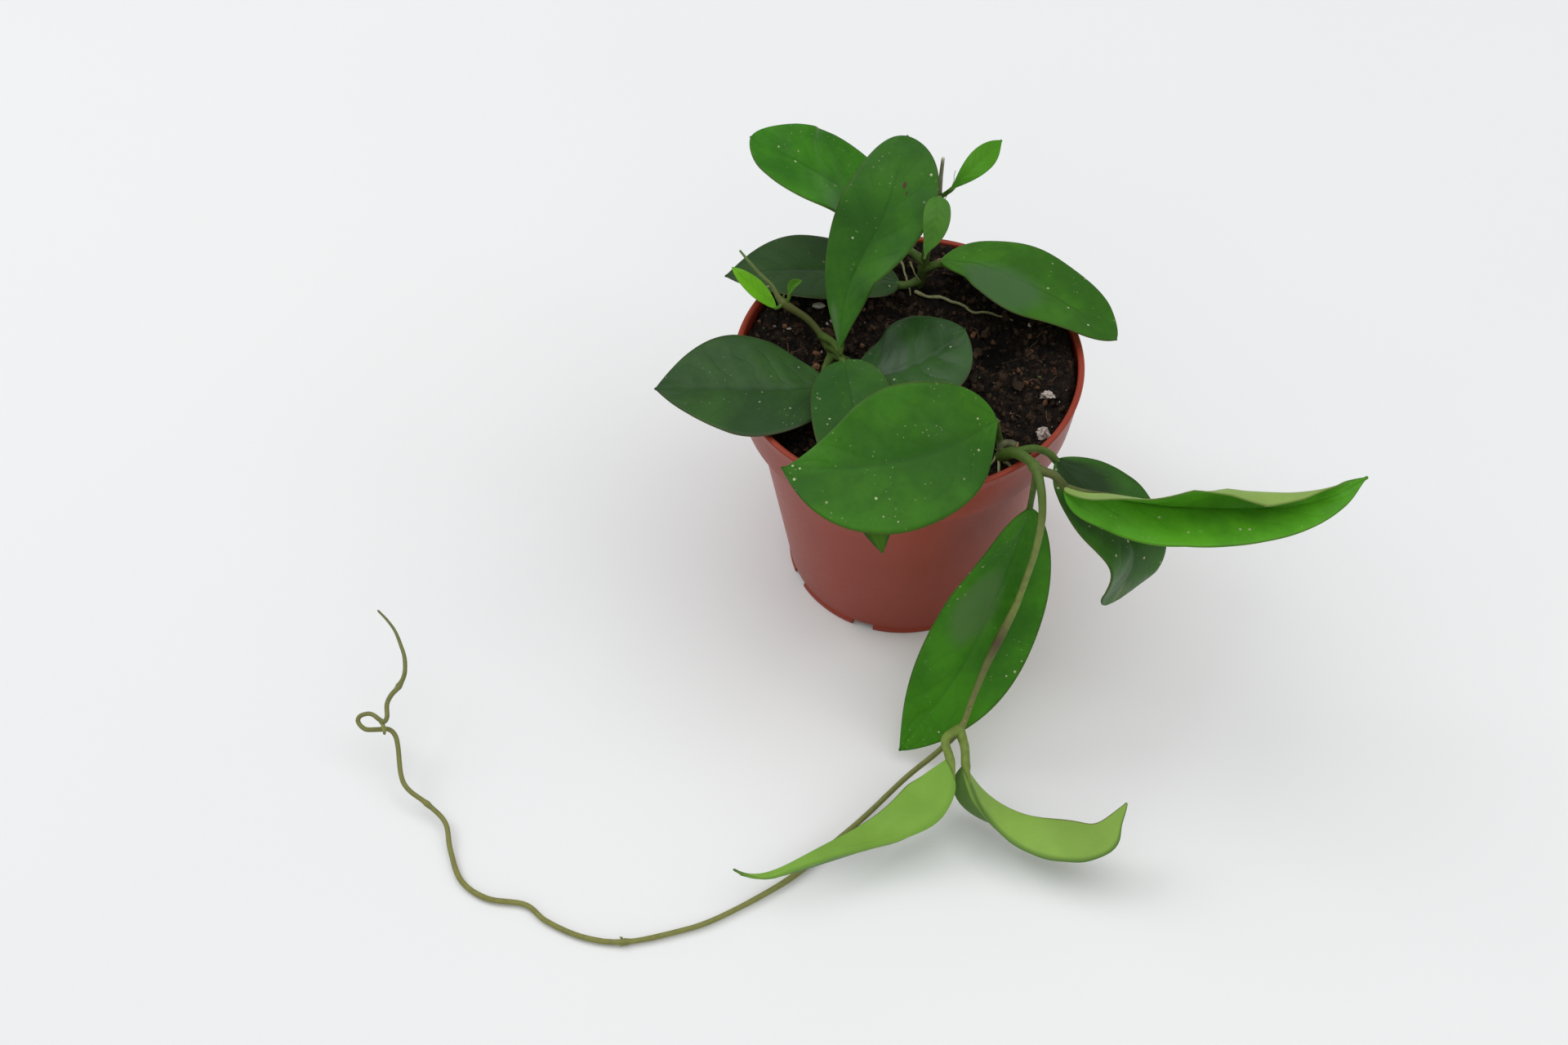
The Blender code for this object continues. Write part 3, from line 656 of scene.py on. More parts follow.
def smooth_path(points: Sequence[Point], spacing: float = 0.5,
                shares: np.ndarray | None = None) -> np.ndarray:
    """Follow a smooth curve through points.

    Args:
        points: the points that it passes through.
        spacing: even step along it, where no shares are given.
        shares: places along it from 0 to 1, instead of a spacing.

    Returns:
        Points on the curve, one row each.
    """
    given = np.array(points, float)
    given = np.vstack([2 * given[0] - given[1], given, 2 * given[-1] - given[-2]])
    fine = []
    t = np.arange(PATH_STEPS)[:, None] / PATH_STEPS
    for i in range(1, len(given) - 2):
        a, b, c, d = given[i - 1:i + 3]
        fine.append(0.5 * (2 * b + (c - a) * t + (2 * a - 5 * b + 4 * c - d) * t * t
                           + (3 * b - a - 3 * c + d) * t ** 3))
    fine = np.vstack([*fine, given[-2:-1]])
    lengths = np.concatenate([[0], np.cumsum(np.linalg.norm(np.diff(fine, axis=0), axis=1))])
    if shares is None:
        shares = np.linspace(0, 1, max(3, round(lengths[-1] / spacing) + 1))
    return np.stack([np.interp(shares * lengths[-1], lengths, fine[:, k]) for k in range(3)], 1)


def directions(path: np.ndarray) -> np.ndarray:
    """Give the unit direction of a path at each of its points."""
    steps = np.gradient(path, axis=0)
    return steps / np.linalg.norm(steps, axis=1)[:, None]


def spread(values: Sequence, shares: np.ndarray) -> np.ndarray:
    """Read evenly placed values at other places.

    Args:
        values: numbers or points, from the start to the end.
        shares: where they are read, from 0 to 1.

    Returns:
        The values there.
    """
    table = np.array(values, float)
    places = np.linspace(0, 1, len(table))
    if table.ndim == 1:
        return np.interp(shares, places, table)
    return np.stack([np.interp(shares, places, table[:, k]) for k in range(table.shape[1])], 1)


def tube(shape: Shape, path: np.ndarray, radii: np.ndarray, sides: int = 12,
         side_mark: float = 0.0, flat_ends: bool = False) -> None:
    """Add a closed tube to a shape.

    Args:
        shape: what it is added to.
        path: its centre line.
        radii: its radius at each point of the path.
        sides: sides of its cross-section.
        side_mark: third mark of its points.
        flat_ends: keep the ends at full width, as a cut stem's, and don't narrow them.
    """
    ways = directions(path)
    if not flat_ends:
        first, last = radii[0] * TUBE_END, radii[-1] * TUBE_END
        path = np.vstack([path[0] - ways[0] * first, path, path[-1] + ways[-1] * last])
        radii = np.concatenate([[first], radii, [last]])
        ways = np.vstack([ways[0], ways, ways[-1]])
    count = len(path)
    side = np.array(Vector(ways[0]).orthogonal().normalized())
    verts, marks, faces = [], [], []
    for i in range(count):
        side = side - ways[i] * side.dot(ways[i])
        side /= np.linalg.norm(side)
        other = np.cross(ways[i], side)
        for k in range(sides):
            turn = math.tau * k / sides
            verts.append(path[i] + (side * math.cos(turn) + other * math.sin(turn)) * radii[i])
            marks.append((i / (count - 1), k / sides, side_mark))
    for i in range(count - 1):
        for k in range(sides):
            a, b = i * sides + k, i * sides + (k + 1) % sides
            faces.append((a, b, b + sides, a + sides))
    faces.append(tuple(reversed(range(sides))))
    faces.append(tuple(range((count - 1) * sides, count * sides)))
    shape.add(verts, faces, marks)


def lump(shape: Shape, centre: Point, size: Point, seed: float, rough: float = 0.2,
         level: int = 2, marks: tuple = (0, 0, 0), turn: float = 0.0, chip: float = 0.0) -> None:
    """Add one irregular crumb to a shape.

    Args:
        shape: what it is added to.
        centre: its middle.
        size: its half sizes along three axes.
        seed: a number that sets its form.
        rough: how far its surface departs from an egg.
        level: fineness of the ball that it starts from.
        marks: marks of its points.
        turn: turn about the vertical, in radians.
        chip: how far flat broken faces cut into it, from 0 to 1.
    """
    ball = bmesh.new()
    bmesh.ops.create_icosphere(ball, subdivisions=level, radius=1.0)
    spin = Matrix.Rotation(turn, 3, "Z") @ Matrix.Rotation(seed * 1.7, 3, "X")
    verts = []
    for vert in ball.verts:
        bump = 1 + rough * noise.noise(vert.co * COARSE_BUMPS + Vector((seed, seed * 2, 0))) * 2
        bump += rough * 0.6 * noise.noise(vert.co * FINE_BUMPS + Vector((0, seed, seed)))
        if chip:
            far = noise.voronoi(vert.co * BROKEN_FACES + Vector((seed, 0, 3)))[0]
            bump -= chip * (0.5 - min(0.5, far[1] - far[0]))
        verts.append(np.array(centre) + np.array(
            spin @ Vector([c * s * bump for c, s in zip(vert.co, size)])))
    faces = [[v.index for v in f.verts] for f in ball.faces]
    ball.free()
    shape.add(verts, faces, marks)


class Tone(Enum):
    """Which of the leaf finishes a leaf wears."""
    # Painted shade: the leaf colours darkened and cooled for leaves that get less light
    DEEP = LeafFinish("leaf_deep", (0.018, 0.055, 0.016), (0.03, 0.088, 0.02),
                      (0.14, 0.25, 0.06), (0.013, 0.042, 0.013), speckled=0.7, gloss=0.22)
    MID = LeafFinish("leaf_mid", (0.024, 0.095, 0.01), (0.042, 0.15, 0.012),
                     (0.17, 0.3, 0.06), (0.018, 0.07, 0.01))
    SPOTTED = LeafFinish("leaf_spotted", (0.022, 0.082, 0.014), (0.038, 0.125, 0.016),
                         (0.17, 0.3, 0.06), (0.016, 0.06, 0.012),
                         spots=((0.79, 0.24, 0.022, (0.07, 0.04, 0.02)),
                                (0.76, 0.33, 0.013, (0.06, 0.04, 0.02))))
    BRIGHT_TIP = LeafFinish("leaf_bright_tip", (0.022, 0.082, 0.014), (0.035, 0.115, 0.016),
                            (0.17, 0.3, 0.06), (0.016, 0.06, 0.012),
                            spots=((1.05, 0.0, 0.4, (0.075, 0.2, 0.012)),))
    LONG = LeafFinish("leaf_long", (0.03, 0.115, 0.008), (0.048, 0.17, 0.01),
                      (0.13, 0.19, 0.058), (0.03, 0.12, 0.008), (0.1, 0.12, 0.035))
    # Its band across is painted shade on the right half of the lower face, and its band along
    # darkens the tip
    PALE_BACK = LeafFinish("leaf_pale_back", (0.03, 0.1, 0.02), (0.045, 0.14, 0.022),
                           (0.2, 0.37, 0.06), (0.024, 0.08, 0.018), (0.19, 0.27, 0.055),
                           speckled=0.0,
                           bands=((Way.ACROSS, 0.04, 0.16, 0.8, (0.085, 0.19, 0.05)),
                                  (Way.ALONG, 0.93, 1.0, 0.7, (0.05, 0.09, 0.03))))
    # Its band across is painted shade on the left half of the lower face
    KEELED_BACK = LeafFinish("leaf_keeled_back", (0.03, 0.1, 0.02), (0.045, 0.14, 0.022),
                             (0.2, 0.37, 0.06), (0.024, 0.08, 0.018), (0.19, 0.27, 0.055),
                             (0.13, 0.035, 0.02), speckled=0.0, keel=(0.075, 0.15, 0.03),
                             bands=((Way.ACROSS, -0.04, -0.16, 0.85, (0.08, 0.16, 0.04)),))
    YOUNG = LeafFinish("leaf_young", (0.065, 0.19, 0.012), (0.09, 0.24, 0.016),
                       (0.15, 0.3, 0.04), (0.055, 0.16, 0.012), (0.1, 0.2, 0.03),
                       (0.07, 0.13, 0.02), speckled=0.0)
    MILD = LeafFinish("leaf_mild", (0.055, 0.15, 0.022), (0.07, 0.18, 0.025),
                      (0.15, 0.3, 0.05), (0.045, 0.12, 0.02), (0.09, 0.16, 0.03),
                      (0.1, 0.13, 0.03), speckled=0.0,
                      spots=((1.02, 0.0, 0.16, (0.15, 0.16, 0.045)),))


@dataclass
class Leaf:
    """One leaf: its blade's midrib and the way its upper face looks, and its petiole.

    Angles are in degrees. The two values of fold and curl are for the left and the right
    half of the blade, seen from above with the tip away. Each is a number, or a tuple of
    angles from base to tip. Width, widest and the two shapes are pairs where the halves
    differ. Faces are the ways that the upper face looks, from base to tip. The petiole's
    first point lies on the stem.
    """
    name: str
    stem: str
    petiole: tuple
    midrib: tuple
    faces: tuple
    width: float | tuple
    widest: float | tuple = 0.5
    base_shape: float | tuple = 0.6
    tip_shape: float | tuple = 0.8
    fold: tuple = (7, 7)
    curl: tuple = (0, 0)
    petiole_radius: float = 1.3
    young: bool = False

    # Faces along and across the blade, and steps of its bend across
    ROWS = 64
    CELLS = 28
    BEND_STEPS = 24
    # Thickness, its share at the margin, and the leaf's width from which it is full
    THICK = 0.95
    EDGE_THICK = 0.62
    FULL_SIZE = 14.0
    # Half width that is left at base and tip
    END = 0.25
    # How soon a fold opens from base and tip, and its share there
    FOLD_RAMP = 5.0
    FOLD_START = 0.2
    # How far the right margin's waves run ahead, in waves
    HALF_PHASE = 0.23
    # Rounds and strength of the evening out
    SMOOTHING = 24
    SMOOTHING_STEP = 0.8
    # Midrib: width above, height and width below, and how soon it fades near the tip
    GROOVE_WIDTH = 0.9
    RIDGE_HEIGHT = 0.45
    RIDGE_WIDTH = 1.3
    RIB_FADE = 1.6
    # Slight swells, one to a side vein: height, number and how far forwards they run
    QUILT_HEIGHT = 0.09
    QUILTS = 7
    QUILT_SLANT = 1.2
    # How far the rim bulges, as a share of the thickness, and its mark
    RIM_BULGE = 0.4
    RIM_MARK = 0.8
    # Petiole: steps and sides, radii on the way to the blade and then under it, both as
    # shares of its own, and the place and depth of the points under the blade
    STEP = 0.9
    PETIOLE_SIDES = 12
    PETIOLE_WIDTHS = (1.25, 1.0, 0.95, 1.0)
    RIB_WIDTHS = (0.95, 0.6, 0.35, 0.2, 0.1)
    RIB_SINKS = ((0.0, 0.7), (0.05, 0.75), (0.11, 0.7), (0.19, 0.55), (0.3, 0.4))

    @property
    def look(self) -> "Look":
        """Give what the render adds to this leaf."""
        return LOOKS[self.name]

    @staticmethod
    def own(value: float | tuple, right: int) -> float:
        """Give one half's own value where the two halves of the blade differ."""
        return value[right] if isinstance(value, tuple) else value

    def half_width(self, shares: np.ndarray, right: int) -> np.ndarray:
        """Find the width of one half of the blade.

        Args:
            shares: places along it.
            right: 1 for the right half and 0 for the left.

        Returns:
            The width of that half at each place.
        """
        widest = self.own(self.widest, right)
        near = shares < widest
        x = np.where(near, (widest - shares) / widest, (shares - widest) / (1 - widest))
        power = np.where(near, self.own(self.base_shape, right), self.own(self.tip_shape, right))
        width = self.own(self.width, right)
        return np.maximum(self.END, width / 2 * np.maximum(0.0, 1 - x * x) ** power)

    @staticmethod
    def angles(degrees: float | tuple, shares: np.ndarray, ease: np.ndarray) -> np.ndarray:
        """Read an angle along the blade.

        Args:
            degrees: one number, which is eased, or a tuple from base to tip, which isn't.
            shares: places along the blade.
            ease: the share of the number at each place.

        Returns:
            The angle in radians at each place.
        """
        if isinstance(degrees, tuple):
            return np.radians(spread(degrees, shares))
        return math.radians(degrees) * ease

    def middle_surface(self) -> tuple[np.ndarray, np.ndarray, np.ndarray]:
        """Lay out the blade without thickness.

        Returns:
            Points by row and column, shares along, and reaches across from -1 to 1.
        """
        shares = 0.5 - 0.5 * np.cos(np.linspace(0, math.pi, self.ROWS + 1))
        reaches = np.linspace(-1, 1, self.CELLS + 1)
        centre = smooth_path(self.midrib, shares=shares)
        ways = directions(centre)
        faces = np.array(self.faces, float)
        up = spread(faces / np.linalg.norm(faces, axis=1)[:, None], shares)
        up = up - ways * np.sum(up * ways, axis=1)[:, None]
        up /= np.linalg.norm(up, axis=1)[:, None]
        across = np.cross(ways, up)
        ramp = np.minimum(1, self.FOLD_RAMP * np.minimum(shares, 1 - shares) + self.FOLD_START)
        grid = np.zeros((len(shares), len(reaches), 3))
        for k, reach in enumerate(reaches):
            right = int(reach > 0)
            half = self.half_width(shares, right)
            start = self.angles(self.fold[right], shares, ramp)
            bend = self.angles(self.curl[right], shares, np.sin(math.pi * shares))
            out, rise = np.zeros(len(shares)), np.zeros(len(shares))
            for n in range(self.BEND_STEPS):
                angle = start + bend * (abs(reach) * (n + 0.5) / self.BEND_STEPS)
                out += np.cos(angle) * abs(reach) / self.BEND_STEPS
                rise += np.sin(angle) * abs(reach) / self.BEND_STEPS
            turns = self.look.waves * shares + self.look.phase + self.HALF_PHASE * right
            wave = self.look.wave * reach ** 2 * np.sin(math.tau * turns) * np.sin(
                math.pi * shares)
            grid[:, k] = (centre + across * (half * out * math.copysign(1, reach))[:, None]
                          + up * (half * rise + wave)[:, None])
        hold = np.abs(reaches)[None, :, None] * self.look.even
        for _ in range(self.SMOOTHING if self.look.even else 0):
            middle = (grid[:-2] + grid[2:]) / 2
            grid[1:-1] += (middle - grid[1:-1]) * self.SMOOTHING_STEP * hold
        return grid, shares, reaches

    def blade(self) -> Shape:
        """Make the blade as a closed plate with a rounded margin and a groove on its rib.

        Returns:
            The blade, marked 1 above, 0 below and between the two on its rim.
        """
        grid, shares, reaches = self.middle_surface()
        along = np.gradient(grid, axis=0)
        side = np.gradient(grid, axis=1)
        normal = np.cross(side, along)
        normal /= np.maximum(np.linalg.norm(normal, axis=2), 1e-9)[:, :, None]
        size = min(1.0, self.own(self.width, 1) / self.FULL_SIZE)
        arch = 1 - reaches ** 2
        thick = self.THICK * size * (self.EDGE_THICK + (1 - self.EDGE_THICK) * arch)
        half = np.maximum(self.half_width(shares, 0), self.half_width(shares, 1))
        apart = reaches[None, :] * half[:, None]
        groove = self.look.groove * size * np.exp(-(apart / self.GROOVE_WIDTH) ** 2)
        ridge = self.RIDGE_HEIGHT * size * np.exp(-(apart / self.RIDGE_WIDTH) ** 2)
        fade = np.clip((1 - shares) * self.RIB_FADE, 0, 1)[:, None]
        lane = self.QUILTS * shares[:, None] - self.QUILT_SLANT * np.abs(reaches)[None, :]
        quilt = self.QUILT_HEIGHT * size * np.sin(math.tau * lane) * arch[None, :]
        upper = grid + normal * (thick[None, :] / 2 - groove * fade + quilt)[:, :, None]
        lower = grid - normal * (thick[None, :] / 2 + ridge * fade - quilt)[:, :, None]
        rows, columns = len(shares), len(reaches)
        ring = ([(0, k) for k in range(columns)] + [(i, columns - 1) for i in range(1, rows)]
                + [(rows - 1, k) for k in reversed(range(columns - 1))]
                + [(i, 0) for i in reversed(range(1, rows - 1))])
        verts = [p for face in (upper, lower) for row in face for p in row]
        marks = [(s, r, side) for side in (1.0, 0.0) for s in shares for r in reaches]
        faces = []
        below = rows * columns
        for i in range(rows - 1):
            for k in range(columns - 1):
                a = i * columns + k
                quad = (a, a + 1, a + 1 + columns, a + columns)
                faces.append(quad)
                faces.append(tuple(corner + below for corner in reversed(quad)))
        rim = len(verts)
        for i, k in ring:
            inner = grid[min(max(i, 1), rows - 2), min(max(k, 1), columns - 2)]
            away = grid[i, k] - inner
            away /= max(np.linalg.norm(away), 1e-9)
            verts.append((upper[i, k] + lower[i, k]) / 2 + away * thick[k] * self.RIM_BULGE)
            marks.append((shares[i], math.copysign(1.0, reaches[k]), self.RIM_MARK))
        for n, (i, k) in enumerate(ring):
            j, m = ring[(n + 1) % len(ring)]
            a, b = i * columns + k, j * columns + m
            c, d = rim + n, rim + (n + 1) % len(ring)
            faces.append((b, a, c, d))
            faces.append((d, c, a + below, b + below))
        shape = Shape()
        shape.add(verts, faces, marks)
        return shape

    def add_petiole(self, shape: Shape) -> None:
        """Add the petiole, which runs on under the blade and fades into its rib.

        Args:
            shape: the leaf's shape, which it is added to.
        """
        grid, shares, _ = self.middle_surface()
        middle = self.CELLS // 2
        along = np.gradient(grid[:, middle], axis=0)
        up = np.cross(grid[:, middle + 1] - grid[:, middle - 1], along)
        up /= np.linalg.norm(up, axis=1)[:, None]
        radius = self.petiole_radius
        rib = []
        for share, sink in self.RIB_SINKS:
            row = int(np.argmin(abs(shares - share * self.look.rib)))
            rib.append(grid[row, middle] - up[row] * radius * sink)
        stem = STEMS[self.stem].centre_line()
        start = stem[np.argmin(np.linalg.norm(stem - np.array(self.petiole[0]), axis=1))]
        free = smooth_path([start, *self.petiole[1:], rib[0]], self.STEP)
        under = smooth_path(rib, self.STEP)[1:]
        widths = [spread(table, np.linspace(0, 1, len(path)))
                  for table, path in ((self.PETIOLE_WIDTHS, free), (self.RIB_WIDTHS, under))]
        tube(shape, np.vstack([free, under]), np.concatenate(widths) * radius,
             self.PETIOLE_SIDES, side_mark=-1.0)

    def build(self) -> bpy.types.Object:
        """Make the leaf in place of its CAD node.

        Returns:
            The leaf.
        """
        shape = self.blade()
        self.add_petiole(shape)
        slot = "young_leaf" if self.young else "leaf"
        return shape.build("dressed_" + self.name, self.look.finish(self.name), slot,
                           (self.name,))


@dataclass(frozen=True)
class Look:
    """What the render adds to a leaf: its tone, and gentle waves of its margin.

    Wave is their height in mm, waves their number and phase where they start. Even is how
    much the sections of a bent blade are evened out along it, from 0 to 1, tint what its
    colours are multiplied by, rib how far the petiole runs on under the blade as a share
    of the usual, groove how deep the midrib lies, and spots are added to the tone's. The
    tint partly sets a leaf's own colour and partly paints in how much light reaches it:
    lighter on lit leaves and darker on shaded ones. Some spots are painted sheen, and one
    is painted shade.
    """
    tone: Tone = Tone.MID
    wave: float = 0.5
    waves: float = 2.0
    phase: float = 0.1
    even: float = 0.0
    tint: Colour = (1.0, 1.0, 1.0)
    rib: float = 1.0
    groove: float = 0.3
    spots: tuple = ()

    def finish(self, name: str) -> LeafFinish:
        """Make the leaf's own finish: its tone with the tint on both faces.

        Args:
            name: the leaf's name.

        Returns:
            The finish.
        """
        base = self.tone.value
        tinted = {key: tuple(c * t for c, t in zip(getattr(base, key), self.tint))
                  for key in ("dark", "light", "vein", "under")}
        return replace(base, name=base.name + "_" + name, spots=base.spots + self.spots, **tinted)


LOOKS = {
    # The tall leaf's spot is a painted sheen near its base
    "leaf_middle_tall": Look(Tone.SPOTTED, 0.5, 1.6, 0.3, tint=(1.15, 1.25, 0.8),
                             spots=((0.1, -0.6, 0.13, (0.07, 0.15, 0.05)),)),
    "leaf_middle_left": Look(Tone.DEEP, 0.5, 1.5, 0.1, tint=(1.05, 1.05, 0.8)),
    # The glossy right leaf's spot is a painted sheen on its left half
    "leaf_middle_right": Look(Tone.DEEP, 0.0, 1.4, 0.5, 0.7, tint=(0.9, 1.05, 0.7),
                              spots=((0.36, -0.4, 0.2, (0.035, 0.075, 0.03)),)),
    "leaf_middle_front": Look(Tone.BRIGHT_TIP, 0.4, 1.5, 0.2, tint=(1.05, 1, 1)),
    "leaf_middle_young": Look(Tone.YOUNG, 0.15, tint=(1.6, 1.65, 0.9)),
    "leaf_middle_bud": Look(Tone.YOUNG, 0.0),
    "leaf_back_upper_left": Look(Tone.MID, 0.6, 1.5, 0.3, tint=(1.15, 1.45, 0.75)),
    # The back right leaf's spot is a painted sheen on its right half
    "leaf_back_right": Look(Tone.MID, 0.7, 1.8, 0.6, tint=(1.15, 1.15, 0.75),
                            spots=((0.36, 0.5, 0.3, (0.056, 0.135, 0.04)),)),
    "leaf_back_low": Look(Tone.DEEP, 0.4, 1.4, 0.2, tint=(1, 0.9, 0.8)),
    "leaf_back_young": Look(Tone.YOUNG, 0.3, 1.2, 0.2, tint=(0.75, 1.05, 0.6)),
    "leaf_back_small": Look(Tone.MILD, 0.2, 1.2, 0.4, tint=(0.97, 1.08, 0.85)),
    "leaf_front_big": Look(Tone.MID, 0.7, 1.5, 0.0, tint=(1, 1.1, 0.7)),
    "leaf_front_long": Look(Tone.LONG, 0.35, 2.4, 0.2, tint=(2.0, 2.1, 1.6), groove=0.06),
    # The folded leaf's first spot, near its base, is painted shade from the long leaf above it
    "leaf_front_folded": Look(Tone.SPOTTED, 0.5, 2.2, 0.4, tint=(1.05, 1.1, 0.65),
                              spots=((0.15, 0.0, 0.35, (0.015, 0.04, 0.009)),
                                     (1.0, 0.0, 0.16, (0.075, 0.14, 0.035)))),
    # The hanging leaf's spot is a painted sheen beside its midrib
    "leaf_front_hanging": Look(Tone.MID, 0.6, 1.8, 0.7, tint=(1.3, 1.55, 0.7),
                               spots=((0.4, 0.35, 0.2, (0.075, 0.175, 0.04)),)),
    "leaf_runner_left": Look(Tone.PALE_BACK, 0.3, 1.5, 0.2, 1.0, (1.05, 1.1, 0.95), 0.35),
    "leaf_runner_right": Look(Tone.KEELED_BACK, 0.3, 1.5, 0.2, 1.0, (1.25, 1.15, 1.25), 0.35),
}

